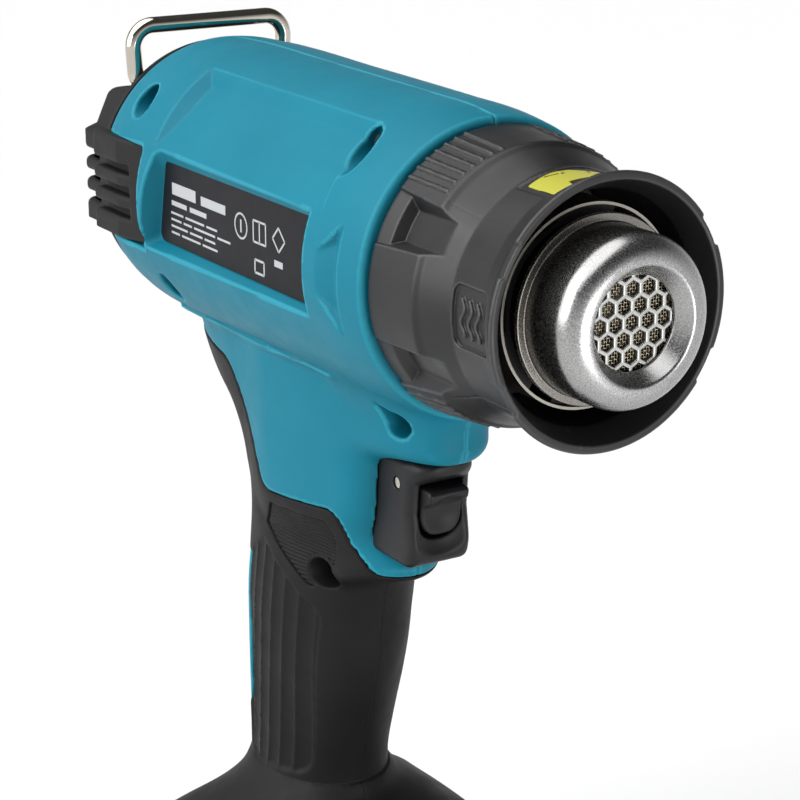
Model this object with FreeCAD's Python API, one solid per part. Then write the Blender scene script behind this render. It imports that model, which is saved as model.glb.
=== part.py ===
import FreeCAD, Part
import math
import os

Vec = FreeCAD.Vector

# Cordless hot-air gun standing on its battery.
# The gun is drawn in a frame of its own: x from the guard's front plane (forward positive),
# y to the left, z from the barrel axis. export() then sets it on the ground plane.
# All sizes are millimetres.

# Placement of the gun frame in the part's frame
AXIS_HEIGHT = 218.0
GUARD_FRONT = 84.75

# Barrel of the housing: stations of (x, radius), front to rear
BARREL_FRONT = -39.3
BARREL_REAR = -157.5
BARREL_PROFILE = [
    (BARREL_FRONT, 30.9),
    (-42.0, 31.7),
    (-47.0, 32.2),
    (-63.0, 32.5),
    (-100.0, 33.1),
    (-141.0, 33.4),
    (-150.0, 32.8),
    (-155.0, 31.5),
    (BARREL_REAR, 30.2),
]
BARREL_WALL = 3.8
FRONT_LIP_R = 24.2

# Name plate pockets on both sides, with the housing wall set in behind them
PLATE_FLOOR = 28.5
PLATE_THICKNESS = 0.6
PLATE_WALL = 2.0
PLATE_FRONT = -60.0
PLATE_TOP = 12.2
PLATE_BOTTOM = -9.6
PLATE_REAR_TOP = -127.8
PLATE_REAR_BOTTOM = -132.0

# Blower
FAN_R = 24.2
SHROUD_R = 26.2

# Handle: stations of (z, rear x, front x, half width)
HANDLE_STATIONS = [
    (-14.0, -141.0, -62.0, 21.0),
    (-45.0, -134.5, -72.0, 17.4),
    (-62.0, -129.5, -76.0, 17.0),
    (-78.0, -128.5, -79.5, 17.4),
    (-92.0, -130.0, -82.0, 17.6),
    (-105.0, -131.0, -84.2, 16.9),
    (-118.0, -131.2, -87.7, 16.1),
    (-130.0, -131.5, -90.8, 15.3),
    (-142.0, -132.0, -91.0, 15.3),
]
HANDLE_WALL = 3.2
GRIP_THICKNESS = 1.5

# Chin and trigger surround
CHIN_TIP = -47.3
CHIN_HALF_WIDTH = 12.5
CHIN_NOSE_LENGTH = 20.0
CHIN_BOTTOM = -44.5
TRIGGER_OPENING_REAR = -73.0
TRIGGER_OPENING_BOTTOM = -70.0
SURROUND_FRONT = -66.0
SURROUND_BOTTOM = -77.0

# Foot: stations of (z, rear x, front x, half width, corner radius)
FOOT_STATIONS = [
    (-129.0, -129.5, -93.0, 13.4, 12.0),
    (-138.0, -132.5, -89.0, 16.0, 12.5),
    (-145.0, -139.5, -74.0, 22.0, 13.0),
    (-151.0, -148.0, -57.0, 30.0, 13.0),
    (-157.0, -155.0, -43.0, 36.8, 12.0),
]
FOOT_FLOOR = -157.0
FOOT_BOTTOM = -168.0
RAIL_TOP = -163.0
RAIL_HALF_GAP = 25.5
CHANNEL_HALF_WIDTH = 29.0
CHANNEL_REAR = -146.0

# Battery pack
BATTERY_REAR = -156.0
BATTERY_FRONT = -42.0
BATTERY_HALF_WIDTH = 37.5
BATTERY_SPLIT = -184.0
BATTERY_BOTTOM = -AXIS_HEIGHT
BATTERY_WALL = 2.2
CELL_R = 9.0
CELL_LENGTH = 65.0
CELL_PITCH = 18.6

# Guard round the nozzle: bayonet fitting that twists off
GUARD_REAR = -39.0
GUARD_BORE_R = 23.0
GUARD_CYLINDER_R = 25.1
GUARD_FLARE_R = 27.2
GUARD_RIB_ANGLE = 29.2
GUARD_RIB_PITCH = 4.7
BAYONET_R = 22.7
BAYONET_LUG_R = 24.4
BAYONET_GROOVE_R = 24.8
BAYONET_X = -33.5
BAYONET_TWIST = 20.0

# Nozzle
NOZZLE_R = 17.0
NOZZLE_REAR_R = 16.7
NOZZLE_BORE_R = 16.2
NOZZLE_BEAD_R = 18.7
NOZZLE_BEAD_REAR = -4.8
NOZZLE_BEAD_FRONT = -3.8
NOZZLE_SHOULDER_R = 4.6
NOZZLE_TIP = 10.0
NOZZLE_REAR = -62.0
NOZZLE_MOUTH_R = 9.2
GRILLE_X = 5.6
GRILLE_R = 12.0
HEX_PITCH = 3.7
HEX_ACROSS_FLATS = 2.8

# Hook (wire bail)
HOOK_X = -161.0
HOOK_WIRE_R = 1.9
HOOK_PIVOT_Z = 22.0
HOOK_BAR_Z = 35.3
HOOK_HALF_WIDTH = 19.6
HOOK_PIN_INNER = 12.0
HOOK_BEND_R = 5.0

# Trigger
TRIGGER_HALF_WIDTH = 8.0
TRIGGER_FRONT = -57.5
TRIGGER_REAR = -79.0
SWITCH_FRONT = -85.0
SWITCH_REAR = -106.0
SWITCH_TOP = -44.8
SWITCH_BOTTOM = -71.4
LEVER_HALF_WIDTH = 5.0
LEVER_PIN_X = -63.3
LEVER_PIN_Z = -50.8
LEVER_PIN_R = 1.2

# Housing screws: (x, z, depth of the head's seat from the parting plane)
SCREW_PLACES = [
    (-146.0, 20.5, 15.0),
    (-55.5, 24.6, 12.0),
    (-131.0, -20.0, 12.0),
    (-58.0, -34.5, 7.0),
    (-81.0, -76.5, 8.0),
    (-112.0, -138.5, 8.0),
]
SCREW_HEAD_R = 3.3
SCREW_R = 1.5
BOSS_R = 3.9
POCKET_R = 3.6
HANDLE_TOP = -30.0
BARREL_BOSS_REACH = 30.0
HANDLE_BOSS_REACH = 13.0

GAP = 0.3
FAR = 400.0


# ---------------------------------------------------------------- geometry helpers

def box(x0, x1, y0, y1, z0, z1):
    return Part.makeBox(x1 - x0, y1 - y0, z1 - z0, Vec(x0, y0, z0))


def rod_x(x0, x1, radius, y=0.0, z=0.0):
    return Part.makeCylinder(radius, x1 - x0, Vec(x0, y, z), Vec(1, 0, 0))


def rod_y(y0, y1, radius, x, z):
    return Part.makeCylinder(radius, y1 - y0, Vec(x, y0, z), Vec(0, 1, 0))


def rod_z(z0, z1, radius, x, y):
    return Part.makeCylinder(radius, z1 - z0, Vec(x, y, z0), Vec(0, 0, 1))


def tube_x(x0, x1, outer, inner):
    return rod_x(x0, x1, outer).cut(rod_x(x0 - 1, x1 + 1, inner))


def revolve(profile):
    """Turn a closed (x, radius) outline about the barrel axis."""
    points = [Vec(x, 0, r) for x, r in profile]
    wire = Part.makePolygon(points + [points[0]])
    return Part.Face(wire).revolve(Vec(0, 0, 0), Vec(1, 0, 0), 360)


def rounded_wire(corners, to_point):
    """Closed wire through (u, v, radius) corners, each corner an arc of its radius."""
    count = len(corners)
    ends = []
    for i in range(count):
        u, v, radius = corners[i]
        before = corners[i - 1]
        after = corners[(i + 1) % count]
        here = Vec(u, v, 0)
        back = (Vec(before[0], before[1], 0) - here).normalize()
        ahead = (Vec(after[0], after[1], 0) - here).normalize()
        half = back.getAngle(ahead) / 2.0
        if radius > 0:
            reach = radius / math.tan(half)
            middle = (back + ahead).normalize() * (radius / math.sin(half) - radius)
            ends.append((here + back * reach, here + middle, here + ahead * reach))
        else:
            ends.append((here, None, here))
    edges = []
    for i in range(count):
        first, middle, last = [None if p is None else to_point(p.x, p.y) for p in ends[i]]
        if middle is not None:
            edges.append(Part.Arc(first, middle, last).toShape())
        following = ends[(i + 1) % count][0]
        target = to_point(following.x, following.y)
        if last.distanceToPoint(target) > 1e-6:
            edges.append(Part.LineSegment(last, target).toShape())
    return Part.Wire(edges)


def prism_y(corners, y0, y1):
    """Side-view outline of (x, z, radius) corners, drawn out along y."""
    face = Part.Face(rounded_wire(corners, lambda u, v: Vec(u, y0, v)))
    return face.extrude(Vec(0, y1 - y0, 0))


def prism_z(corners, z0, z1):
    """Plan outline of (x, y, radius) corners, drawn out along z."""
    face = Part.Face(rounded_wire(corners, lambda u, v: Vec(u, v, z0)))
    return face.extrude(Vec(0, 0, z1 - z0))


def prism_x(corners, x0, x1):
    """Front-view outline of (y, z, radius) corners, drawn out along x."""
    face = Part.Face(rounded_wire(corners, lambda u, v: Vec(x0, u, v)))
    return face.extrude(Vec(x1 - x0, 0, 0))


def rectangle(u0, u1, v0, v1, radius):
    return [(u0, v0, radius), (u1, v0, radius), (u1, v1, radius), (u0, v1, radius)]


def turned(shape, degrees):
    copy = shape.copy()
    copy.rotate(Vec(0, 0, 0), Vec(1, 0, 0), degrees)
    return copy


def fuse_all(shapes):
    return shapes[0].multiFuse(shapes[1:]) if len(shapes) > 1 else shapes[0]


def lead(points, radius):
    """Round wire along straight runs joined by tangent arcs."""
    edges = []
    start = points[0]
    for i in range(1, len(points) - 1):
        here = points[i]
        back = points[i - 1] - here
        ahead = points[i + 1] - here
        shorter = min(back.Length, ahead.Length)
        half_turn = (math.pi - back.getAngle(ahead)) / 2.0
        bend = 0.45 * shorter / math.tan(half_turn)
        back = back.normalize()
        ahead = ahead.normalize()
        reach = 0.45 * shorter
        inner = (back + ahead).normalize() * (bend / math.cos(half_turn) - bend)
        first = here + back * reach
        last = here + ahead * reach
        edges.append(Part.LineSegment(start, first).toShape())
        edges.append(Part.Arc(first, here + inner, last).toShape())
        start = last
    edges.append(Part.LineSegment(start, points[-1]).toShape())
    path = Part.Wire(edges)
    direction = points[1] - points[0]
    section = Part.Wire(Part.Circle(points[0], direction, radius).toShape())
    return path.makePipeShell([section], True, True)


def half(shape, side):
    """Keep the right (side -1) or left (side +1) half."""
    keep = box(-FAR, FAR, 0, FAR, -FAR, FAR) if side > 0 else box(-FAR, FAR, -FAR, 0, -FAR, FAR)
    return shape.common(keep)


# ---------------------------------------------------------------- housing

def barrel(inset):
    profile = [(x, r - inset) for x, r in BARREL_PROFILE]
    profile[0] = (BARREL_FRONT - inset, profile[0][1])
    profile[-1] = (BARREL_REAR + inset, profile[-1][1])
    return revolve([(profile[0][0], 0)] + profile + [(profile[-1][0], 0)])


def handle(inset):
    sections = []
    for z, rear, front, width in HANDLE_STATIONS:
        centre = Vec((rear + front) / 2, 0, z)
        ellipse = Part.Ellipse(centre, (front - rear) / 2 - inset, width - inset)
        sections.append(Part.Wire(ellipse.toShape()))
    return Part.makeLoft(sections, True, False)


def foot_flare(inset):
    sections = []
    for z, rear, front, width, corner in FOOT_STATIONS:
        outline = rectangle(rear + inset, front - inset, inset - width, width - inset, corner - inset)
        sections.append(rounded_wire(outline, lambda u, v, z=z: Vec(u, v, z)))
    return Part.makeLoft(sections, True, False)


def foot_block():
    outline = rectangle(BATTERY_REAR + 0.5, BATTERY_FRONT - 0.5, 0.5 - BATTERY_HALF_WIDTH,
                        BATTERY_HALF_WIDTH - 0.5, 12.0)
    block = prism_z(outline, FOOT_BOTTOM, FOOT_FLOOR)
    wide = box(CHANNEL_REAR, FAR, -CHANNEL_HALF_WIDTH, CHANNEL_HALF_WIDTH, RAIL_TOP, FOOT_FLOOR - 0.4)
    narrow = box(CHANNEL_REAR, FAR, -RAIL_HALF_GAP, RAIL_HALF_GAP, FOOT_BOTTOM - 1, RAIL_TOP)
    return block.cut(wide).cut(narrow)


def chin(inset):
    """Switch housing under the barrel, with a rounded nose in plan and a hook round the trigger."""
    centre = Vec(CHIN_TIP - CHIN_NOSE_LENGTH, 0, -95)
    nose = Part.Ellipse(centre, CHIN_NOSE_LENGTH - inset, CHIN_HALF_WIDTH - inset)
    arc = Part.ArcOfEllipse(nose, -math.pi / 2, math.pi / 2).toShape()
    width = CHIN_HALF_WIDTH - inset
    rear = -104.0
    right = Part.LineSegment(Vec(rear, -width, -95), Vec(centre.x, -width, -95)).toShape()
    left = Part.LineSegment(Vec(centre.x, width, -95), Vec(rear, width, -95)).toShape()
    back = Part.LineSegment(Vec(rear, width, -95), Vec(rear, -width, -95)).toShape()
    plan = Part.Face(Part.Wire([right, arc, left, back])).extrude(Vec(0, 0, 95))
    side = [
        (rear, -12.0, 0),
        (CHIN_TIP + 1.0, -12.0, 0),
        (CHIN_TIP, -36.0, 0),
        (CHIN_TIP - 0.9, CHIN_BOTTOM + inset, 2.0),
        (TRIGGER_OPENING_REAR - inset, CHIN_BOTTOM + inset, 0),
        (TRIGGER_OPENING_REAR - inset, TRIGGER_OPENING_BOTTOM - inset, 0),
        (SURROUND_FRONT - inset, TRIGGER_OPENING_BOTTOM - inset, 0),
        (SURROUND_FRONT - inset, -74.5 + inset, 2.0),
        (-71.0, SURROUND_BOTTOM + inset, 3.0),
        (-80.0, -83.0, 6.0),
        (rear, -84.0, 0),
    ]
    return plan.common(prism_y(side, -40, 40))


def gun_body(inset):
    return fuse_all([barrel(inset), handle(inset), chin(inset), foot_flare(inset)])


def grip_mask():
    """Side view of the elastomer: handle, root of the barrel and foot, less the rear spine."""
    outline = [
        (-170.0, -29.5, 0),
        (-141.0, -33.5, 10.0),
        (-122.0, -35.5, 8.0),
        (-102.5, -62.0, 6.0),
        (-79.5, -60.5, 4.0),
        (-76.0, -71.0, 8.0),
        (-70.0, -77.2, 4.0),
        (-60.0, -78.0, 0),
        (-30.0, -110.0, 0),
        (-30.0, -158.0, 0),
        (-170.0, -158.0, 0),
    ]
    spine = [
        (-145.0, -78.0, 0),
        (-120.0, -78.0, 3.0),
        (-116.5, -86.0, 6.0),
        (-119.0, -120.0, 8.0),
        (-126.0, -128.0, 3.0),
        (-145.0, -128.0, 0),
    ]
    return prism_y(outline, -60, 60).cut(prism_y(spine, -60, 60))


def grip_layer():
    return gun_body(0.0).common(grip_mask()).cut(gun_body(GRIP_THICKNESS))


def barrel_cavity():
    inner = [(x, r - BARREL_WALL) for x, r in BARREL_PROFILE if x < -46]
    front = -46.0
    outline = [(-30.0, 0), (-30.0, FRONT_LIP_R), (front, FRONT_LIP_R), (front, inner[0][1])]
    room = revolve(outline + inner + [(-170.0, inner[-1][1]), (-170.0, 0)])
    inside = PLATE_FLOOR - PLATE_WALL
    for y0, y1 in ((-40.0, -inside), (inside, 40.0)):
        wall = box(PLATE_REAR_BOTTOM - PLATE_WALL, PLATE_FRONT + PLATE_WALL, y0, y1,
                   PLATE_BOTTOM - PLATE_WALL, PLATE_TOP + PLATE_WALL)
        room = room.cut(wall)
    return room


def cavity():
    plenum = handle(HANDLE_WALL).common(box(-FAR, FAR, -50, 50, -141, 0))
    switch_room = box(SWITCH_REAR - 2, TRIGGER_OPENING_REAR + 1, -9.2, 9.2, -71.8, -43.5)
    lead_port = box(-142.5, -136.5, -9, -1.5, FOOT_FLOOR - 1, -153)
    trigger_room = box(-80, -40, -TRIGGER_HALF_WIDTH - GAP, TRIGGER_HALF_WIDTH + GAP,
                       TRIGGER_OPENING_BOTTOM, CHIN_BOTTOM)
    chin_room = chin(3.0).common(box(-FAR, FAR, -50, 50, CHIN_BOTTOM + 3, -20))
    foot_room = foot_flare(3.0).common(box(-FAR, FAR, -50, 50, -154, -130))
    return [barrel_cavity(), plenum, switch_room, lead_port, trigger_room, chin_room, foot_room]


def bosses():
    """Screw towers that stop at the parting plane, one per screw."""
    towers = []
    for x, z, seat in SCREW_PLACES:
        reach = BARREL_BOSS_REACH if z > HANDLE_TOP else HANDLE_BOSS_REACH
        towers.append(rod_y(-reach, reach, BOSS_R, x, z))
    return towers


def screw_holes():
    cuts = []
    for x, z, seat in SCREW_PLACES:
        cuts.append(rod_y(-FAR, -seat, POCKET_R, x, z))
        cuts.append(rod_y(-seat - 1, seat, SCREW_R + 0.1, x, z))
    return cuts


def plate_outline(inset, corner):
    """Side view of the name plate: its rear edge leans back towards the bottom."""
    return [
        (PLATE_REAR_BOTTOM + inset, PLATE_BOTTOM + inset, corner),
        (PLATE_FRONT - inset, PLATE_BOTTOM + inset, corner),
        (PLATE_FRONT - inset, PLATE_TOP - inset, corner),
        (PLATE_REAR_TOP + inset, PLATE_TOP - inset, corner),
    ]


def label_recess(side):
    outline = plate_outline(0.0, 3.0)
    return prism_y(outline, PLATE_FLOOR, 40) if side > 0 else prism_y(outline, -40, -PLATE_FLOOR)


def hook_recess():
    """Room for the hook's legs at the rear rim."""
    return box(HOOK_X - 4, HOOK_X + 3.4, -24, 24, 18, 40)


def housing():
    solid = fuse_all([gun_body(0.0), foot_block()]).cut(fuse_all(cavity()))
    towers = fuse_all(bosses()).common(gun_body(1.0))
    solid = solid.fuse(towers)
    solid = solid.cut(fuse_all(screw_holes()))
    solid = solid.cut(label_recess(-1)).cut(label_recess(1))
    return solid.cut(grip_layer())


def biggest(shape):
    return max(shape.Solids, key=lambda s: s.Volume)


def housing_screws():
    screws = []
    for x, z, seat in SCREW_PLACES:
        head = rod_y(-seat - 2.2, -seat, SCREW_HEAD_R, x, z)
        drive = rod_y(-seat - 2.3, -seat - 1.0, 1.3, x, z)
        shank = rod_y(-seat, seat - 1.0, SCREW_R, x, z)
        screws.append(head.fuse(shank).cut(drive))
    return Part.makeCompound(screws)


def name_plate():
    return prism_y(plate_outline(1.2, 2.0), -PLATE_FLOOR - PLATE_THICKNESS, -PLATE_FLOOR)


# ---------------------------------------------------------------- rear cover and air intake

COVER_RIM_REAR = -158.7
COVER_RIM_R = 30.4
COVER_OPENING_R = 18.5
COVER_BLOCK_REAR = -173.5
COVER_BLOCK_TOP = 19.5
COVER_BLOCK_BOTTOM = -20.0
COVER_WALL = 2.4
LOUVRE_PITCH = 8.0
LOUVRE_GAP = 3.2
LOUVRE_COUNT = 4
WING_FRONT = -133.5
WING_INNER = 26.0
WING_OUTER = 31.8


def cover_outline(inset):
    """Plan of the intake block, with its corners drawn in towards the rear."""
    return [
        (-158.0 + inset, inset - 31.0, 1.0),
        (-172.0 + inset, inset - 30.0, 3.0),
        (COVER_BLOCK_REAR + inset, -20.0, 6.0),
        (COVER_BLOCK_REAR + inset, 20.0, 6.0),
        (-172.0 + inset, 30.0 - inset, 3.0),
        (-158.0 + inset, 31.0 - inset, 1.0),
    ]


def louvres():
    slots = []
    for i in range(LOUVRE_COUNT):
        z = (i - 1.5) * LOUVRE_PITCH - 1.0
        for y in (-60.0, 22.0):
            slots.append(box(-200.0, -163.0, y, y + 38.0, z - LOUVRE_GAP / 2, z + LOUVRE_GAP / 2))
    return fuse_all(slots)


def wing_outline():
    return [(WING_FRONT, -11.0, 2.0), (WING_FRONT, 12.0, 2.0), (-159.5, 13.0, 0), (-159.5, -12.0, 0)]


def wings(outer):
    """Cheeks of the cover that reach forward into notches of the housing."""
    right = prism_y(wing_outline(), -outer, -WING_INNER)
    return right.fuse(prism_y(wing_outline(), WING_INNER, outer))


def rear_cover():
    rim = tube_x(COVER_RIM_REAR, BARREL_REAR, COVER_RIM_R, COVER_OPENING_R)
    plate = rod_x(-161.5, COVER_RIM_REAR, 27.8).cut(hook_recess())
    block = prism_z(cover_outline(0.0), COVER_BLOCK_BOTTOM, COVER_BLOCK_TOP)
    room = prism_z(cover_outline(COVER_WALL), COVER_BLOCK_BOTTOM + COVER_WALL, COVER_BLOCK_TOP - COVER_WALL)
    inner_wings = wings(WING_OUTER).cut(rod_x(BARREL_REAR - 0.5, WING_FRONT + 1, 29.0))
    solid = fuse_all([rim, plate, block, inner_wings]).cut(room)
    solid = solid.cut(rod_x(-162.0, -150.0, COVER_OPENING_R)).cut(louvres())
    ears = [box(-163.5, COVER_RIM_REAR, s * 14 - 3, s * 14 + 3, COVER_BLOCK_TOP - 1, 24.6) for s in (-1, 1)]
    solid = fuse_all([solid] + ears)
    solid = solid.cut(rod_y(-17.5, 17.5, HOOK_WIRE_R + 0.08, HOOK_X, HOOK_PIVOT_Z))
    return biggest(solid.cut(rod_x(-180, -165, 3.1)))


def intake_filter():
    return rod_x(-157.2, -155.0, 23.5)


def dial():
    """Temperature dial with a finger bar, on a hollow stem."""
    disc = rod_x(-177.5, -174.2, 10.0)
    bar = box(-179.5, -177.5, -1.6, 1.6, -9.0, 9.0)
    stem = rod_x(-174.2, -168.0, 3.0)
    bore = rod_x(-172.0, -167.0, 1.6)
    return fuse_all([disc, bar, stem]).cut(bore)


def potentiometer():
    body = rod_x(-167.6, -162.6, 6.0)
    shaft = rod_x(-171.8, -167.6, 1.5)
    legs = [box(-162.6, -160.6, y - 0.4, y + 0.4, -5.4, -4.6) for y in (-2.5, 0.0, 2.5)]
    return fuse_all([body, shaft] + legs)


# ---------------------------------------------------------------- blower

def motor_can():
    can = rod_x(-150.0, -123.0, 14.0).cut(rod_x(-148.8, -124.2, 12.8))
    can = can.cut(rod_x(-151, -122, 4.0))
    slots = [turned(box(-146.0, -138.0, -2.0, 2.0, 12.0, 15.0), a) for a in (60, 180, 300)]
    return can.cut(fuse_all(slots))


def motor_magnets():
    ring = tube_x(-146.0, -127.0, 12.7, 10.4)
    gaps = [turned(box(-150, -120, -1.5, 1.5, 9, 14), a) for a in (0, 180)]
    return Part.makeCompound(ring.cut(fuse_all(gaps)).Solids)


def motor_bearings():
    return Part.makeCompound([tube_x(-150.0, -147.0, 3.95, 1.55), tube_x(-126.0, -123.0, 3.95, 1.55)])


def motor_rotor():
    shaft = rod_x(-151.5, -104.5, 1.5)
    core = rod_x(-144.0, -129.0, 9.8)
    slots = [turned(box(-145, -128, -1.0, 1.0, 6.0, 11.0), a) for a in range(0, 360, 60)]
    commutator = rod_x(-146.8, -144.0, 4.0)
    return fuse_all([shaft, core, commutator]).cut(fuse_all(slots))


def motor_mount():
    disc = rod_x(-122.8, -120.0, SHROUD_R)
    hub_hole = rod_x(-130, -110, 4.2)
    windows = []
    for i in range(6):
        ring = tube_x(-124, -119, FAN_R, 15.5)
        wedge = turned(box(-124, -119, -6.5, 6.5, 10, 30), 60 * i)
        windows.append(ring.common(wedge))
    return disc.cut(hub_hole).cut(fuse_all(windows))


def fan():
    hub = rod_x(-117.5, -105.5, 9.0)
    blades = []
    for i in range(9):
        blade = box(-6.0, 6.0, -0.6, 0.6, 8.0, 26.0)
        blade.rotate(Vec(0, 0, 0), Vec(0, 0, 1), 38)
        blade.translate(Vec(-111.5, 0, 0))
        blades.append(turned(blade, 40 * i))
    solid = fuse_all([hub] + blades).common(rod_x(-118.0, -105.0, FAN_R))
    return solid.cut(rod_x(-120, -100, 1.5))


def fan_shroud():
    outer = [(-119.8, SHROUD_R), (-102.0, SHROUD_R), (-88.5, 21.8), (-86.0, 21.8)]
    inner = [(x, r - 1.6) for x, r in outer]
    return revolve(outer + inner[::-1])


# ---------------------------------------------------------------- heater and nozzle

def heat_shield():
    shell = tube_x(-88.0, -7.0, 20.15, 19.6)
    ports = [rod_z(-25, -10, 2.0, -80.1, y) for y in (-4.5, 4.5)]
    return shell.cut(fuse_all(ports))


def front_spacer():
    ring = tube_x(-12.0, -9.0, 19.5, NOZZLE_REAR_R + 0.05)
    cuts = [turned(box(-13, -8, -3, 3, 17.6, 21), a) for a in range(30, 360, 60)]
    return ring.cut(fuse_all(cuts))


def rear_spacer():
    ring = tube_x(-60.0, -56.0, 19.5, NOZZLE_REAR_R + 0.05)
    cuts = [turned(box(-61, -55, -3, 3, 17.6, 21), a) for a in range(30, 360, 60)]
    return ring.cut(fuse_all(cuts))


def nozzle():
    """Outlet tube: rear tube, stop bead, straight seat for slip-on tips, rolled shoulder and mouth."""
    outer = [
        (NOZZLE_REAR, NOZZLE_REAR_R),
        (NOZZLE_BEAD_REAR, NOZZLE_REAR_R),
        (NOZZLE_BEAD_REAR, NOZZLE_BEAD_R),
        (NOZZLE_BEAD_FRONT, NOZZLE_BEAD_R),
        (NOZZLE_BEAD_FRONT, NOZZLE_R),
    ]
    inner = [(8.4, 11.6)]
    centre_x = NOZZLE_TIP - NOZZLE_SHOULDER_R
    centre_r = NOZZLE_R - NOZZLE_SHOULDER_R
    inner_radius = NOZZLE_SHOULDER_R - (NOZZLE_R - NOZZLE_BORE_R)
    steps = 10
    for i in range(steps + 1):
        angle = math.pi / 2 * i / steps
        outer.append((centre_x + NOZZLE_SHOULDER_R * math.sin(angle),
                      centre_r + NOZZLE_SHOULDER_R * math.cos(angle)))
    for i in range(1, steps + 1):
        angle = math.pi / 2 * (1 - i / steps)
        inner.append((centre_x + inner_radius * math.sin(angle), centre_r + inner_radius * math.cos(angle)))
    mouth = [(9.4, 10.6), (8.4, 9.6), (7.2, NOZZLE_MOUTH_R), (6.4, NOZZLE_MOUTH_R), (7.6, 10.6)]
    return revolve(outer + mouth + inner + [(NOZZLE_REAR, NOZZLE_BORE_R)])


def hex_cell(y, z):
    reach = HEX_ACROSS_FLATS / math.sqrt(3)
    corners = []
    for i in range(6):
        angle = math.radians(60 * i)
        corners.append(Vec(GRILLE_X - 1, y + reach * math.sin(angle), z + reach * math.cos(angle)))
    return Part.Face(Part.makePolygon(corners + [corners[0]])).extrude(Vec(3, 0, 0))


def nozzle_grille():
    """Disc with hexagonal openings; the outermost show only in part behind the mouth."""
    disc = rod_x(GRILLE_X, GRILLE_X + 0.8, GRILLE_R)
    cells = []
    for row in range(-3, 4):
        for column in range(-3, 4):
            y = (column + (0.5 if row % 2 else 0.0)) * HEX_PITCH
            z = row * HEX_PITCH * math.sqrt(3) / 2
            if math.hypot(y, z) < 10.0:
                cells.append(hex_cell(y, z))
    return disc.cut(Part.makeCompound(cells))


def nozzle_mesh():
    return rod_x(GRILLE_X - 0.5, GRILLE_X - 0.1, GRILLE_R)


def mesh_retainer():
    return tube_x(3.0, GRILLE_X - 0.5, GRILLE_R, 9.4).fuse(tube_x(3.0, 3.8, 15.4, 9.4))


def mica_tube():
    return tube_x(-61.0, 0.0, 16.1, 15.5)


def heater_core():
    fins = [turned(box(-80.0, -4.0, -1.0, 1.0, 0, 13.2), 60 * i) for i in range(6)]
    return fuse_all([rod_x(-80.0, -4.0, 3.5)] + fins)


def heater_coil():
    """Resistance winding: turns round the core, joined by its return wire."""
    turns = []
    for i in range(9):
        turns.append(Part.makeTorus(14.1, 0.7, Vec(-56.0 + 5.8 * i, 0, 0), Vec(1, 0, 0)))
    link = rod_x(-66.0, -9.6, 0.6, 0, -14.1)
    return fuse_all(turns + [link])


def thermal_fuse():
    return rod_x(-76.0, -66.0, 1.6, 0.0, 15.4).fuse(rod_x(-82.0, -62.5, 0.5, 0.0, 15.4))


def heater_terminals():
    tabs = []
    for y in (-4.5, 4.5):
        tabs.append(box(-83.5, -80.1, y - 1.5, y + 1.5, -9.4, -8.6))
    return Part.makeCompound(tabs)


# ---------------------------------------------------------------- guard

def guard_mount():
    """Ring clamped between the housing halves, with three bayonet lugs for the guard."""
    ring = tube_x(-49.0, -29.0, BAYONET_R, 20.5)
    flange = tube_x(-49.0, -46.3, 27.0, 21.0)
    lugs = []
    for i in range(3):
        sector = tube_x(BAYONET_X - 1.4, BAYONET_X + 1.4, BAYONET_LUG_R, BAYONET_R - 0.5)
        lugs.append(sector.common(turned(box(-60, 0, -4, 4, 15, 30), 120 * i)))
    return fuse_all([ring, flange] + lugs)


def guard_ribs():
    """Finger ribs along the collar, in four groups round it."""
    ribs = []
    for group in (GUARD_RIB_ANGLE, 180 - GUARD_RIB_ANGLE, 180 + GUARD_RIB_ANGLE, -GUARD_RIB_ANGLE):
        for i in range(-3, 4):
            rib = box(-38.0, -25.6, -0.5, 0.5, 27.6, 30.1)
            ribs.append(turned(rib, group + GUARD_RIB_PITCH * i))
    return ribs


def guard_pockets():
    """Finger pockets in the collar, with sloping sides, open towards the front."""
    outline = [(-3.1, 26.3, 0), (3.1, 26.3, 0), (5.6, 30.5, 0), (-5.6, 30.5, 0)]
    pockets = []
    for angle in (60.0, 120.0, 240.0, 300.0):
        pockets.append(turned(prism_x(outline, -34.2, -17.0), angle))
    return fuse_all(pockets)


def guard():
    outer = [
        (GUARD_REAR, 29.2),
        (-38.0, 29.9),
        (-24.2, 28.6),
        (-23.1, 27.6),
        (-16.4, GUARD_CYLINDER_R),
        (-6.0, GUARD_CYLINDER_R),
        (-3.4, 25.5),
        (-1.4, 26.5),
        (-0.5, GUARD_FLARE_R),
        (0.0, 26.9),
        (0.0, 25.4),
        (-0.6, 24.6),
    ]
    inner = [
        (-1.6, GUARD_BORE_R),
        (BAYONET_X + 2.0, GUARD_BORE_R),
        (BAYONET_X + 2.0, BAYONET_GROOVE_R),
        (BAYONET_X - 2.0, BAYONET_GROOVE_R),
        (BAYONET_X - 2.0, GUARD_BORE_R),
        (GUARD_REAR, GUARD_BORE_R),
    ]
    shell = fuse_all([revolve(outer + inner)] + guard_ribs())
    entries = []
    for i in range(3):
        slot = box(GUARD_REAR - 1, BAYONET_X, -4.5, 4.5, 20, BAYONET_GROOVE_R)
        entries.append(turned(slot, 120 * i - BAYONET_TWIST))
    shell = shell.cut(fuse_all(entries)).cut(guard_pockets())
    return biggest(shell.cut(rod_x(-60, 0.5, GUARD_BORE_R)))


def guard_decal():
    band = tube_x(-14.6, -8.6, GUARD_CYLINDER_R + 0.25, GUARD_CYLINDER_R + 0.02)
    return band.common(box(-20, 0, -12.5, 3.5, 10, 40))


# ---------------------------------------------------------------- hook

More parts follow.
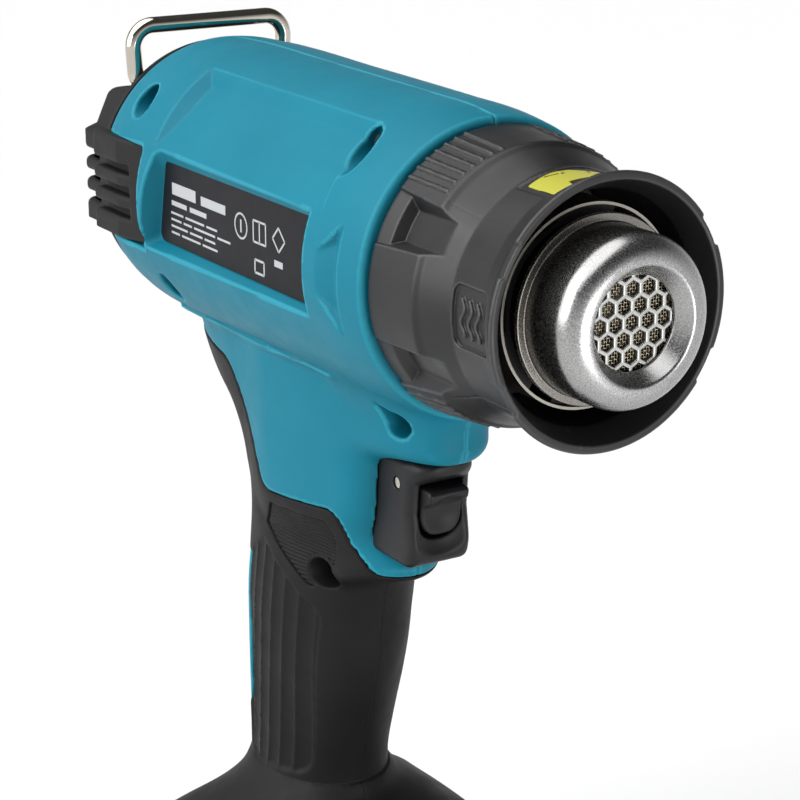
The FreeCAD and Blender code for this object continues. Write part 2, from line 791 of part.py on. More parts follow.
def hook():
    pivot = HOOK_PIVOT_Z
    inner = HOOK_PIN_INNER
    width = HOOK_HALF_WIDTH
    corners = [
        Vec(HOOK_X, -inner, pivot),
        Vec(HOOK_X, -width, pivot),
        Vec(HOOK_X, -width - 0.8, HOOK_BAR_Z),
        Vec(HOOK_X, width + 0.8, HOOK_BAR_Z),
        Vec(HOOK_X, width, pivot),
        Vec(HOOK_X, inner, pivot),
    ]
    bends = [2.6, HOOK_BEND_R, HOOK_BEND_R, 2.6]
    edges = []
    start = corners[0]
    for i, bend in enumerate(bends, start=1):
        here = corners[i]
        back = (corners[i - 1] - here).normalize()
        ahead = (corners[i + 1] - here).normalize()
        angle = back.getAngle(ahead) / 2
        first = here + back * (bend / math.tan(angle))
        last = here + ahead * (bend / math.tan(angle))
        middle = here + (back + ahead).normalize() * (bend / math.sin(angle) - bend)
        edges.append(Part.LineSegment(start, first).toShape())
        edges.append(Part.Arc(first, middle, last).toShape())
        start = last
    edges.append(Part.LineSegment(start, corners[-1]).toShape())
    section = Part.Wire(Part.Circle(corners[0], Vec(0, 1, 0), HOOK_WIRE_R).toShape())
    return Part.Wire(edges).makePipeShell([section], True, True)


# ---------------------------------------------------------------- trigger

def lever_slot():
    width = LEVER_HALF_WIDTH + GAP
    outline = [(-width, -49.8, 0), (width, -49.8, 0), (width, -63.4, 4.5), (-width, -63.4, 4.5)]
    return prism_x(outline, -67.0, -50.0)


def trigger():
    half_width = TRIGGER_HALF_WIDTH
    side = [
        (TRIGGER_REAR, CHIN_BOTTOM - GAP, 0),
        (-53.0, CHIN_BOTTOM - GAP, 0.8),
        (-53.4, -48.0, 1.2),
        (-57.2, -50.0, 1.0),
        (TRIGGER_FRONT - 0.6, -57.0, 0),
        (TRIGGER_FRONT + 0.4, -65.0, 0),
        (TRIGGER_FRONT - 2.4, TRIGGER_OPENING_BOTTOM + GAP, 4.0),
        (TRIGGER_REAR, TRIGGER_OPENING_BOTTOM + GAP, 0),
    ]
    body = prism_y(side, -half_width, half_width)
    plan = prism_z([(TRIGGER_REAR, -half_width, 0), (-52.6, -half_width, 3.5), (-52.6, half_width, 3.5),
                    (TRIGGER_REAR, half_width, 0)], -80, -40)
    body = body.common(plan).cut(lever_slot())
    scoop = Part.makeSphere(9.0, Vec(-50.4, 0, -62.5))
    body = body.cut(scoop)
    hollow = box(TRIGGER_REAR - 1, -70.0, -half_width + 2, half_width - 2, -67.5, -47.0)
    pin_hole = rod_y(-half_width - 1, half_width + 1, LEVER_PIN_R, LEVER_PIN_X, LEVER_PIN_Z)
    return biggest(body.cut(hollow).cut(pin_hole))


def lever_pin():
    width = TRIGGER_HALF_WIDTH - 0.4
    return rod_y(-width, width, LEVER_PIN_R - 0.02, LEVER_PIN_X, LEVER_PIN_Z)


def lock_lever():
    width = LEVER_HALF_WIDTH
    side = [
        (-65.6, -50.6, 1.0),
        (-54.4, -50.6, 0.6),
        (-54.0, -53.0, 1.2),
        (-57.0, -54.6, 1.0),
        (-58.4, -58.0, 2.0),
        (-58.0, -62.0, 1.0),
        (-62.0, -62.0, 0),
        (-63.6, -54.6, 1.0),
        (-65.6, -54.0, 1.0),
    ]
    body = prism_y(side, -width, width)
    front = [(-width, -50.0, 0), (width, -50.0, 0), (width, -62.3, 4.4), (-width, -62.3, 4.4)]
    mask = prism_x(front, -70, -50)
    return biggest(body.common(mask).cut(rod_y(-9, 9, LEVER_PIN_R + 0.05, LEVER_PIN_X, LEVER_PIN_Z)))


def coil_spring(x0, x1, radius, wire, z, turns):
    """Compression spring as closed turns joined by one straight side."""
    rings = []
    step = (x1 - x0 - 2 * wire) / (turns - 1)
    for i in range(turns):
        rings.append(Part.makeTorus(radius, wire, Vec(x0 + wire + step * i, 0, z), Vec(1, 0, 0)))
    side = rod_x(x0 + wire, x1 - wire, wire * 0.8, 0, z - radius)
    return fuse_all(rings + [side])


def trigger_spring():
    return coil_spring(SWITCH_FRONT + 0.1, -70.1, 3.0, 0.45, -62.0, 7)


def lever_spring():
    return rod_y(-2.6, 2.6, 0.9, -65.7, -56.6)


def switch_block():
    body = box(SWITCH_REAR, SWITCH_FRONT, -8.6, 8.6, SWITCH_BOTTOM, SWITCH_TOP)
    plunger_hole = rod_x(-96.0, SWITCH_FRONT + 1, 2.3, 0, -53.0)
    return body.cut(plunger_hole)


def switch_plunger():
    return rod_x(-89.0, -70.05, 2.1, 0, -53.0)


# ---------------------------------------------------------------- electronics and leads

def controller_board():
    return box(-123.0, -97.0, 3.0, 4.6, -130.0, -88.0)


def heat_sink():
    base = box(-121.0, -103.0, 4.7, 6.2, -108.0, -90.0)
    fins = [box(-121.0 + 3.4 * i, -119.8 + 3.4 * i, 6.2, 9.6, -108.0, -90.0) for i in range(6)]
    return fuse_all([base] + fins)


def capacitor():
    return rod_z(-126.0, -111.0, 3.6, -112.0, 8.3)


def power_transistors():
    pitch = 8.0
    packs = [box(-121.0 + pitch * i, -115.0 + pitch * i, 1.4, 2.9, -104.0, -94.0) for i in range(3)]
    return Part.makeCompound(packs)


def terminal_block():
    return box(-145.8, -136.0, -20.0, 20.0, -166.5, -157.6)


def terminal_blades():
    blades = []
    for y in (-14.0, 0.0, 14.0):
        blades.append(box(-135.9, -126.0, y - 0.4, y + 0.4, -165.5, -159.5))
    return Part.makeCompound(blades)


def battery_leads():
    wires = []
    for y in (-3.6, -6.6):
        route = [
            Vec(-139.5, y, -157.4),
            Vec(-138.5, y, -150.5),
            Vec(-128.0, y, -145.0),
            Vec(-119.5, y, -136.0),
            Vec(-116.0, y, -118.0),
            Vec(-108.5, y, -99.0),
            Vec(-101.0, y, -82.0),
            Vec(-100.8, y, -71.6),
        ]
        wires.append(lead(route, 1.3))
    return Part.makeCompound(wires)


def heater_leads():
    wires = []
    for y in (-4.5, 4.5):
        route = [
            Vec(-90.0, y, SWITCH_TOP + 0.1),
            Vec(-89.8, y, -36.5),
            Vec(-80.6, y, -29.0),
            Vec(-80.0, y, -19.0),
            Vec(-81.6, y, -9.9),
        ]
        wires.append(lead(route, 1.2))
    return Part.makeCompound(wires)


def motor_leads():
    wires = []
    for y in (-7.0, 7.0):
        route = [
            Vec(-100.0, y, SWITCH_TOP + 0.1),
            Vec(-100.2, y, -37.5),
            Vec(-112.0, y, -33.0),
            Vec(-130.0, y, -28.0),
            Vec(-145.0, y, -21.0),
            Vec(-151.4, y, -12.0),
            Vec(-151.2, y, -5.0),
        ]
        wires.append(lead(route, 1.0))
    return Part.makeCompound(wires)


# ---------------------------------------------------------------- battery pack

def battery_outline(inset, radius):
    return rectangle(BATTERY_REAR + inset, BATTERY_FRONT - inset, inset - BATTERY_HALF_WIDTH,
                     BATTERY_HALF_WIDTH - inset, radius)


def battery_tub():
    outer = prism_z(battery_outline(0.0, 12.0), BATTERY_BOTTOM, BATTERY_SPLIT)
    bottom = [e for e in outer.Edges if e.BoundBox.ZMax < BATTERY_BOTTOM + 0.1]
    outer = outer.makeFillet(2.5, bottom)
    room = prism_z(battery_outline(BATTERY_WALL, 9.8), BATTERY_BOTTOM + BATTERY_WALL, BATTERY_SPLIT + 1)
    return outer.cut(room)


def battery_top():
    body = prism_z(battery_outline(0.0, 12.0), BATTERY_SPLIT, FOOT_BOTTOM - GAP)
    room = prism_z(battery_outline(BATTERY_WALL, 9.8), BATTERY_SPLIT - 1, -171.0)
    front = -48.0
    rear = -144.0
    neck = box(rear, front, -RAIL_HALF_GAP + GAP, RAIL_HALF_GAP - GAP, -169.0, RAIL_TOP + GAP)
    head = box(rear, front, -CHANNEL_HALF_WIDTH + GAP, CHANNEL_HALF_WIDTH - GAP, RAIL_TOP + GAP, -158.2)
    inside = box(rear + 2, front - 2, -23.0, 23.0, -172.0, -160.4)
    solid = fuse_all([body, neck, head]).cut(room).cut(inside)
    bay = box(rear - 1, -123.0, -21.0, 21.0, -167.0, -157.0)
    button_bay = box(-53.0, -40.0, -14.0, 14.0, -183.0, -169.6)
    return biggest(solid.cut(bay).cut(button_bay).cut(battery_gauge()))


def battery_cells():
    cells = []
    for row in range(2):
        for column in range(5):
            x = -99.0 + (column - 2) * CELL_PITCH
            z = BATTERY_BOTTOM + BATTERY_WALL + 0.6 + CELL_R + row * CELL_PITCH
            cells.append(rod_y(-CELL_LENGTH / 2, CELL_LENGTH / 2, CELL_R, x, z))
    return Part.makeCompound(cells)


def battery_board():
    return box(-138.0, -60.0, -20.0, 20.0, -176.6, -175.0)


def battery_contacts():
    clips = []
    for y in (-14.0, 0.0, 14.0):
        for s in (-1, 1):
            clips.append(box(-134.0, -128.0, y + s * 1.2 - 0.3, y + s * 1.2 + 0.3, -174.9, -164.0))
    return Part.makeCompound(clips)


def battery_button():
    plan = [(-50.5, -13.6, 1.0), (-40.8, -13.6, 2.5), (-40.8, 13.6, 2.5), (-50.5, 13.6, 1.0)]
    body = prism_z(plan, -179.4, -170.2)
    grips = [box(-41.4, -40.0, -10.0, 10.0, -178.2 + 2.2 * i, -177.3 + 2.2 * i) for i in range(3)]
    return body.cut(fuse_all(grips))


def battery_button_spring():
    rings = []
    for i in range(3):
        rings.append(Part.makeTorus(2.4, 0.35, Vec(-46.5, 0, -182.4 + 1.15 * i), Vec(0, 0, 1)))
    side = rod_z(-182.4, -180.1, 0.3, -46.5 + 2.4, 0)
    return fuse_all(rings + [side])


def battery_screws():
    screws = []
    for x in (-149.5, -48.5):
        for y in (-31.0, 31.0):
            screws.append(rod_z(BATTERY_BOTTOM + 0.8, BATTERY_BOTTOM + 2.1, 2.6, x, y))
    return Part.makeCompound(screws)


def battery_gauge():
    return box(-42.2, -41.6, -33.0, -18.0, -181.0, -173.0)


# ---------------------------------------------------------------- export

def build():
    body = housing()
    notches = wings(BARREL_PROFILE[5][1] + 5.0)
    grips = grip_layer()
    tub = battery_tub()
    screws = battery_screws()
    parts = {
        "housing_right": biggest(half(body, -1).cut(notches)),
        "housing_left": biggest(half(body, 1).cut(notches)),
        "grip_right": biggest(half(grips, -1)),
        "grip_left": biggest(half(grips, 1)),
        "housing_screws": housing_screws(),
        "name_plate": name_plate(),
        "rear_cover": rear_cover(),
        "intake_filter": intake_filter(),
        "temperature_dial": dial(),
        "potentiometer": potentiometer(),
        "motor_can": motor_can(),
        "motor_magnets": motor_magnets(),
        "motor_bearings": motor_bearings(),
        "motor_rotor": motor_rotor(),
        "motor_mount": motor_mount(),
        "fan": fan(),
        "fan_shroud": fan_shroud(),
        "heat_shield": heat_shield(),
        "front_spacer": front_spacer(),
        "rear_spacer": rear_spacer(),
        "nozzle": nozzle(),
        "nozzle_grille": nozzle_grille(),
        "nozzle_mesh": nozzle_mesh(),
        "mesh_retainer": mesh_retainer(),
        "mica_tube": mica_tube(),
        "heater_core": heater_core(),
        "heater_coil": heater_coil(),
        "thermal_fuse": thermal_fuse(),
        "heater_terminals": heater_terminals(),
        "guard_mount": guard_mount(),
        "guard": guard(),
        "guard_decal": guard_decal(),
        "hook": hook(),
        "trigger": trigger(),
        "lever_pin": lever_pin(),
        "lock_lever": lock_lever(),
        "lever_spring": lever_spring(),
        "trigger_spring": trigger_spring(),
        "switch_block": switch_block(),
        "switch_plunger": switch_plunger(),
        "controller_board": controller_board(),
        "heat_sink": heat_sink(),
        "capacitor": capacitor(),
        "power_transistors": power_transistors(),
        "terminal_block": terminal_block(),
        "terminal_blades": terminal_blades(),
        "battery_leads": battery_leads(),
        "heater_leads": heater_leads(),
        "motor_leads": motor_leads(),
        "battery_tub": tub.cut(screws),
        "battery_top": battery_top(),
        "battery_cells": battery_cells(),
        "battery_board": battery_board(),
        "battery_contacts": battery_contacts(),
        "battery_button": battery_button(),
        "battery_button_spring": battery_button_spring(),
        "battery_screws": screws,
        "battery_gauge": battery_gauge(),
    }
    return parts


def export(parts):
    os.makedirs("parts", exist_ok=True)
    for name, shape in parts.items():
        placed = shape.copy()
        placed.translate(Vec(GUARD_FRONT, 0, AXIS_HEIGHT))
        placed.exportStep("parts/%s.step" % name)
        box_now = placed.BoundBox
        print("%-22s valid=%s solids=%d x %.1f..%.1f y %.1f..%.1f z %.1f..%.1f" % (
            name, placed.isValid(), len(placed.Solids), box_now.XMin, box_now.XMax,
            box_now.YMin, box_now.YMax, box_now.ZMin, box_now.ZMax))


export(build())
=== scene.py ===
import math

import bpy
import numpy as np
import openvdb
from mathutils import Matrix, Vector


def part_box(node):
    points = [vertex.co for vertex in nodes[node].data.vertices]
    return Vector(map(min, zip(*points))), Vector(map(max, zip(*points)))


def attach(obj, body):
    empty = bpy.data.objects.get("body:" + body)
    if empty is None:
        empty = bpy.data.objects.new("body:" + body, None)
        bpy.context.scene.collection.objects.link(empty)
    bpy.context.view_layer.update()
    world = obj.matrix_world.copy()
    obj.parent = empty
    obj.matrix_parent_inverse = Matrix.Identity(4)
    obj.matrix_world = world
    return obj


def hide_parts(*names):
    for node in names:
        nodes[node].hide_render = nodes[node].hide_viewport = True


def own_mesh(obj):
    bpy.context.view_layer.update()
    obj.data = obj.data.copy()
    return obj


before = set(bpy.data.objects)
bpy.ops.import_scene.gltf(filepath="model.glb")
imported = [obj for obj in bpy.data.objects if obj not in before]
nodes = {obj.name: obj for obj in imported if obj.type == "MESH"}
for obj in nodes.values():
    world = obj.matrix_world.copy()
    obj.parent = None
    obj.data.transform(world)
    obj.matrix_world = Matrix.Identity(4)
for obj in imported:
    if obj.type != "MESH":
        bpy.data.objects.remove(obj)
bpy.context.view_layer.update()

# Shapes are drawn in the gun's own frame, in millimetres: x forward from the guard's front
# plane, y to the left, z up from the barrel axis. Every point is moved to the CAD frame at the end.
MM = 0.001
_, guard_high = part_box("guard")
nozzle_low, nozzle_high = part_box("nozzle")
ORIGIN = Vector((guard_high.x, 0.0, (nozzle_low.z + nozzle_high.z) / 2))
FAR = 99.0  # a distance beyond any that matters to a shape


def node_box(name):
    """A CAD node's lowest and highest corners in the gun's frame, in millimetres."""
    low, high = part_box(name)
    return (low - ORIGIN) / MM, (high - ORIGIN) / MM


# ---- distance fields

class Points:
    """Sample points in the gun's frame, with the values that many shapes share."""

    def __init__(self, x, y, z):
        self.x = x
        self.y = y
        self.z = z
        self.side = np.abs(y)

    def only(self, mask):
        return Points(self.x[mask], self.y[mask], self.z[mask])

    def radius(self):
        return np.hypot(self.y, self.z)


def points_at(rows):
    """Sample points from rows of (x, y, z)."""
    return Points(*(rows[:, i].copy() for i in range(3)))


def blend_min(a, b, width):
    """Union whose joint is eased over about the given width."""
    near = np.maximum(width - np.abs(a - b), 0.0)
    return np.minimum(a, b) - near * near * (0.25 / width)


def blend_max(a, b, width):
    return -blend_min(-a, -b, width)


def round_max(a, b, radius):
    """Intersection with its edge rounded to a radius."""
    u = np.maximum(a + radius, 0.0)
    v = np.maximum(b + radius, 0.0)
    return np.minimum(np.maximum(a, b), -radius) + np.hypot(u, v)


def slab(value, low, high):
    return np.maximum(low - value, value - high)


def ellipse(u, v, a, b):
    """Distance, to first order, from an ellipse of half axes a and b."""
    k = np.sqrt((u / a) ** 2 + (v / b) ** 2) + 1e-6
    slope = np.sqrt((u / a ** 2) ** 2 + (v / b ** 2) ** 2) + 1e-6
    return k * (k - 1.0) / slope


def ramp(value, start, end):
    return np.clip((value - start) / (end - start), 0.0, 1.0)


def ease(t):
    return t * t * (3.0 - 2.0 * t)


def through(stations):
    """Smooth function through (position, value) stations."""
    stations = sorted(stations)
    t = np.array([s[0] for s in stations], float)
    v = np.array([s[1] for s in stations], float)
    slope = np.gradient(v, t)
    fine = np.arange(t[0], t[-1], 0.25)
    i = np.clip(np.searchsorted(t, fine, "right") - 1, 0, len(t) - 2)
    span = t[i + 1] - t[i]
    u = (fine - t[i]) / span
    h = (2 * u ** 3 - 3 * u ** 2 + 1) * v[i] + (u ** 3 - 2 * u ** 2 + u) * span * slope[i]
    h += (-2 * u ** 3 + 3 * u ** 2) * v[i + 1] + (u ** 3 - u ** 2) * span * slope[i + 1]
    return lambda x: np.interp(x, fine, h).astype(np.float32)


def rounded(corners, steps=8):
    """Points of a closed outline through (u, v, radius) corners, each an arc of its radius."""
    points = []
    for i, (u, v, radius) in enumerate(corners):
        here = np.array((u, v))
        back = np.array(corners[i - 1][:2]) - here
        ahead = np.array(corners[(i + 1) % len(corners)][:2]) - here
        back = back / np.hypot(*back)
        ahead = ahead / np.hypot(*ahead)
        if radius <= 0:
            points.append(here)
            continue
        half = math.acos(max(-1.0, min(1.0, float(back @ ahead)))) / 2
        middle = back + ahead
        centre = here + middle / np.hypot(*middle) * (radius / math.sin(half))
        first = here + back * (radius / math.tan(half)) - centre
        last = here + ahead * (radius / math.tan(half)) - centre
        start = math.atan2(first[1], first[0])
        turn = (math.atan2(last[1], last[0]) - start + math.pi) % (2 * math.pi) - math.pi
        for k in range(steps + 1):
            angle = start + turn * k / steps
            points.append(centre + radius * np.array((math.cos(angle), math.sin(angle))))
    return [tuple(p) for p in points]


class Outline:
    """Signed distance from a closed outline in a plane, looked up from a fine table."""

    STEP = 0.4
    MARGIN = 12.0

    def __init__(self, corners):
        points = np.array(rounded(corners))
        self.low = points.min(0) - self.MARGIN
        count = np.ceil((points.max(0) + self.MARGIN - self.low) / self.STEP).astype(int) + 1
        u = self.low[0] + np.arange(count[0])[:, None] * self.STEP
        v = self.low[1] + np.arange(count[1])[None, :] * self.STEP
        nearest = np.full(count, 1e9)
        inside = np.zeros(count, bool)
        for (au, av), (bu, bv) in zip(points, np.roll(points, 1, 0)):
            eu, ev = bu - au, bv - av
            wu, wv = u - au, v - av
            t = np.clip((wu * eu + wv * ev) / (eu * eu + ev * ev + 1e-12), 0, 1)
            nearest = np.minimum(nearest, (wu - eu * t) ** 2 + (wv - ev * t) ** 2)
            crosses = ((av > v) != (bv > v)) & (u < eu * (v - av) / (ev + 1e-12) + au)
            inside ^= crosses
        self.table = np.where(inside, -1.0, 1.0) * np.sqrt(nearest)
        self.table = self.table.astype(np.float32)

    def __call__(self, u, v):
        u = np.clip((u - self.low[0]) / self.STEP, 0, self.table.shape[0] - 1.001).astype(np.float32)
        v = np.clip((v - self.low[1]) / self.STEP, 0, self.table.shape[1] - 1.001).astype(np.float32)
        i = u.astype(np.int32)
        j = v.astype(np.int32)
        u -= i
        v -= j
        t = self.table
        low = t[i, j] * (1 - u) + t[i + 1, j] * u
        high = t[i, j + 1] * (1 - u) + t[i + 1, j + 1] * u
        return low * (1 - v) + high * v


ZONE_MARGIN = 5.0


def within(p, x=None, y=None, z=None):
    """Which points lie in a box, or near enough to it to feel a shape inside it."""
    mask = np.ones(p.x.shape, bool)
    for value, span in ((p.x, x), (p.y, y), (p.z, z)):
        if span:
            mask &= (value > span[0] - ZONE_MARGIN) & (value < span[1] + ZONE_MARGIN)
    return mask


def carve(d, p, tool, edge, **zone):
    """Cut a tool out of the field, working only on the points near the tool."""
    mask = within(p, **zone)
    if mask.any():
        d[mask] = blend_max(d[mask], -tool(p.only(mask)), edge)
    return d


# ---- meshes from fields

# A field is sampled in cubic blocks, and only in those that the surface may cross.
BLOCK = 8  # samples along a block's side
BLOCKS_AT_ONCE = 2000
HALF_DIAGONAL = 0.866  # of a cube whose side is 1
SLACK = 1.2  # for fields that are not true distances
SLOPE_STEP = 0.1
COARSER = 1.0


def block_samples(corner, voxel, size):
    steps = np.arange(size, dtype=np.float32) * voxel
    x = corner[:, 0, None, None, None] + steps[None, :, None, None]
    y = corner[:, 1, None, None, None] + steps[None, None, :, None]
    z = corner[:, 2, None, None, None] + steps[None, None, None, :]
    shape = (len(corner), size, size, size)
    return [np.broadcast_to(a, shape).ravel() for a in (x, y, z)]


def surface(field, low, high, voxel):
    """Vertices and quads of the surface where the field is zero, sampled only near it."""
    voxel = voxel * COARSER
    low = np.array(low, np.float32) - 2 * voxel
    pitch = voxel * BLOCK
    counts = np.ceil((np.array(high) + 2 * voxel - low) / pitch).astype(int)
    index = np.stack(np.meshgrid(*[np.arange(n) for n in counts], indexing="ij"), -1).reshape(-1, 3)
    corner = (low + index * pitch).astype(np.float32)
    centre = corner + np.float32(pitch / 2)
    far = field(points_at(centre))
    limit = pitch * HALF_DIAGONAL + SLACK
    background = 3 * voxel
    grid = np.empty((counts[0], BLOCK, counts[1], BLOCK, counts[2], BLOCK), np.float32)
    cells = grid.transpose(0, 2, 4, 1, 3, 5)
    sign = np.where(far < 0, -background, background).astype(np.float32)
    cells[...] = sign.reshape(*counts, 1, 1, 1)
    keep = np.flatnonzero(np.abs(far) < limit)
    for part in np.array_split(keep, max(1, len(keep) // BLOCKS_AT_ONCE)):
        x, y, z = block_samples(corner[part], np.float32(voxel), BLOCK)
        values = field(Points(x, y, z))
        values = np.clip(values, -background, background).reshape(-1, BLOCK, BLOCK, BLOCK)
        i, j, k = index[part].T
        cells[i, j, k] = values
    volume = openvdb.FloatGrid(background)
    volume.copyFromArray(grid.reshape(counts * BLOCK))
    points, _, quads = volume.convertToPolygons(isovalue=0.0, adaptivity=0.0)
    points = points * np.float32(voxel) + low
    return settle(field, points, voxel), quads


def settle(field, points, voxel):
    """Move the vertices along the field's slope until they lie on the surface."""
    step = np.float32(SLOPE_STEP)
    for _ in range(2):
        here = field(points_at(points))
        slope = np.empty_like(points)
        for axis in range(3):
            shifted = points.copy()
            shifted[:, axis] += step
            slope[:, axis] = (field(points_at(shifted)) - here) / step
        size = (slope ** 2).sum(1) + 0.05
        move = -slope * (here / size)[:, None]
        points = points + np.clip(move, -voxel * 0.5, voxel * 0.5)
    return points


def link_object(name, data):
    """Put a new object with the given data into the scene."""
    obj = bpy.data.objects.new(name, data)
    bpy.context.scene.collection.objects.link(obj)
    return obj


def new_object(name, points, faces, smooth=True):
    """Mesh object from points in the gun's frame, in millimetres."""
    mesh = bpy.data.meshes.new(name)
    points = np.asarray(points, np.float64) * MM + np.array(ORIGIN)
    faces = np.asarray(faces)
    sides = faces.shape[1]
    mesh.vertices.add(len(points))
    mesh.vertices.foreach_set("co", points.astype(np.float32).ravel())
    mesh.loops.add(faces.size)
    mesh.loops.foreach_set("vertex_index", faces.astype(np.int32).ravel())
    mesh.polygons.add(len(faces))
    mesh.polygons.foreach_set("loop_start", np.arange(0, faces.size, sides, dtype=np.int32))
    mesh.update(calc_edges=True)
    mesh.validate()
    mesh.polygons.foreach_set("use_smooth", np.full(len(mesh.polygons), smooth))
    return link_object(name, mesh)


def signed_volume(points, quads):
    a, b, c, d = (points[quads[:, i]].astype(np.float64) for i in range(4))
    return (np.cross(a, b) * c).sum() + (np.cross(a, c) * d).sum()


def solid_object(name, points, quads, smooth=True):
    """Mesh object of a closed surface, with its faces turned outwards."""
    if signed_volume(points, quads) < 0:
        quads = quads[:, ::-1]
    return new_object(name, points, quads, smooth)


def field_object(name, field, low, high, voxel):
    points, quads = surface(field, low, high, voxel)
    return solid_object(name, points, quads)


def tube_quads(rings, sides, closed=False):
    """Quads between neighbouring rings of points, and from the last ring to the first if closed."""
    i, j = np.meshgrid(np.arange(rings if closed else rings - 1), np.arange(sides), indexing="ij")
    i2 = (i + 1) % rings
    j2 = (j + 1) % sides
    return np.stack([i * sides + j, i * sides + j2, i2 * sides + j2, i2 * sides + j], -1).reshape(-1, 4)


def place(obj, body, slot, material, *replaced):
    """Give a piece its material, its body and the CAD nodes that it stands for."""
    obj.data.materials.clear()
    obj.data.materials.append(material)
    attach(obj, body)
    if replaced:
        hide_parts(*replaced)
    return obj


# ---- materials

class Nodes:
    """Short way to write a material's node tree."""

    def __init__(self, name):
        self.material = bpy.data.materials.new(name)
        self.material.use_nodes = True
        self.tree = self.material.node_tree
        self.shader = self.tree.nodes["Principled BSDF"]
        self.place = self.add("ShaderNodeTexCoord").outputs["Object"]

    def add(self, kind, **values):
        node = self.tree.nodes.new(kind)
        for key, value in values.items():
            if hasattr(node, key):
                setattr(node, key, value)
            else:
                socket = node.inputs[key]
                if isinstance(value, bpy.types.NodeSocket):
                    self.tree.links.new(value, socket)
                else:
                    socket.default_value = value
        return node

    def link(self, output, socket):
        self.tree.links.new(output, socket)

    def noise(self, size, detail=3.0, roughness=0.55):
        node = self.add("ShaderNodeTexNoise", Vector=self.place, Scale=1.0 / size, Detail=detail)
        node.inputs["Roughness"].default_value = roughness
        return node.outputs["Fac"]

    def range(self, value, low, high, to_low, to_high):
        node = self.add("ShaderNodeMapRange", Value=value)
        for name, number in zip(("From Min", "From Max", "To Min", "To Max"), (low, high, to_low, to_high)):
            node.inputs[name].default_value = number
        return node.outputs["Result"]

    def mix(self, factor, first, second):
        node = self.add("ShaderNodeMix", data_type="RGBA")
        self.link(factor, node.inputs["Factor"])
        for socket, value in ((node.inputs["A"], first), (node.inputs["B"], second)):
            if isinstance(value, bpy.types.NodeSocket):
                self.link(value, socket)
            else:
                socket.default_value = (*value, 1.0)
        return node.outputs["Result"]

    def bump(self, height, distance, strength=1.0, below=None):
        node = self.add("ShaderNodeBump", Height=height, Distance=distance, Strength=strength)
        if below is not None:
            self.link(below, node.inputs["Normal"])
        return node.outputs["Normal"]

    def highlight_edge_mask(self, radius):
        """High where the surface turns sharply outwards: the mask of a painted edge highlight."""
        bevel = self.add("ShaderNodeNewGeometry").outputs["Pointiness"]
        return self.range(bevel, 0.5 + radius, 0.5 + 3 * radius, 0.0, 1.0)


def moulded(name, colour, shade, grain=0.00022, depth=0.000012, rough=(0.38, 0.5), edge_highlight=None, gloss=0.2):
    """Moulded plastic with a fine eroded grain, slight mottling and a painted highlight on sharp outward
    edges.
    """
    m = Nodes(name)
    m.shader.inputs["Specular IOR Level"].default_value = gloss
    mottle = m.noise(0.02, 2.0)
    m.link(m.mix(m.range(mottle, 0.3, 0.7, 0.0, 1.0), shade, colour), m.shader.inputs["Base Color"])
    fine = m.noise(grain, 2.0)
    m.link(m.bump(fine, depth), m.shader.inputs["Normal"])
    patches = m.noise(0.006, 3.0)
    m.link(m.range(patches, 0.3, 0.7, *rough), m.shader.inputs["Roughness"])
    if edge_highlight:
        # lighter colour on sharp outward edges: a painted edge highlight
        edges = m.highlight_edge_mask(0.012)
        base = m.shader.inputs["Base Color"].links[0].from_socket
        m.link(m.mix(edges, base, edge_highlight), m.shader.inputs["Base Color"])
    return m.material


def metal(name, colour, rough, grain=0.0004, depth=0.00001, stretch=(1.0, 1.0, 1.0)):
    m = Nodes(name)
    m.shader.inputs["Metallic"].default_value = 1.0
    m.shader.inputs["Base Color"].default_value = (*colour, 1.0)
    mapping = m.add("ShaderNodeMapping", Vector=m.place, Scale=stretch)
    m.place = mapping.outputs["Vector"]
    fine = m.noise(grain, 4.0)
    m.link(m.bump(fine, depth), m.shader.inputs["Normal"])
    m.link(m.range(m.noise(0.004), 0.3, 0.7, *rough), m.shader.inputs["Roughness"])
    return m.material


# the lighter edge colours given to TEAL and BLACK are painted highlights on their sharp edges
TEAL = moulded("teal_shell", (0.004, 0.140, 0.202), (0.003, 0.129, 0.188), rough=(0.46, 0.56),
               edge_highlight=(0.015, 0.20, 0.27), gloss=0.14)
RUBBER = moulded("grip_rubber", (0.0075, 0.0075, 0.008), (0.006, 0.006, 0.0065), 0.0003, 0.00002, (0.5, 0.62),
                 gloss=0.15)
BLACK = moulded("black_nylon", (0.0070, 0.0070, 0.0078), (0.0055, 0.0055, 0.0062), 0.00035, 0.00003,
                (0.36, 0.46), edge_highlight=(0.03, 0.03, 0.032), gloss=0.4)
COVER = moulded("cover_plastic", (0.008, 0.008, 0.0085), (0.0065, 0.0065, 0.007), 0.0003, 0.00002, (0.5, 0.6))
TRIGGER = moulded("trigger_plastic", (0.009, 0.009, 0.010), (0.0075, 0.0075, 0.0085), 0.0003, 0.000015,
                  (0.4, 0.5), gloss=0.25)
PLATE = moulded("plate_film", (0.006, 0.006, 0.0075), (0.005, 0.005, 0.0065), 0.0002, 0.000004, (0.35, 0.42),
               gloss=0.12)
PRINT = moulded("plate_print", (0.36, 0.37, 0.38), (0.32, 0.33, 0.34), 0.0002, 0.000002, (0.4, 0.5))
INNER = moulded("inner_plastic", (0.030, 0.030, 0.030), (0.022, 0.022, 0.022), 0.0004, 0.00003, (0.45, 0.6))
GRILLE = metal("grille_steel", (0.42, 0.42, 0.41), (0.3, 0.4))
WEAVE = metal("weave_wire", (0.36, 0.32, 0.24), (0.3, 0.45))
CHROME = metal("hook_chrome", (0.55, 0.51, 0.44), (0.08, 0.14), 0.001, 0.000004)
DARK_STEEL = metal("dark_steel", (0.035, 0.035, 0.037), (0.4, 0.55))
PLAIN_STEEL = metal("plain_steel", (0.36, 0.36, 0.36), (0.3, 0.45), 0.0005, 0.00001, (1.0, 1.0, 6.0))
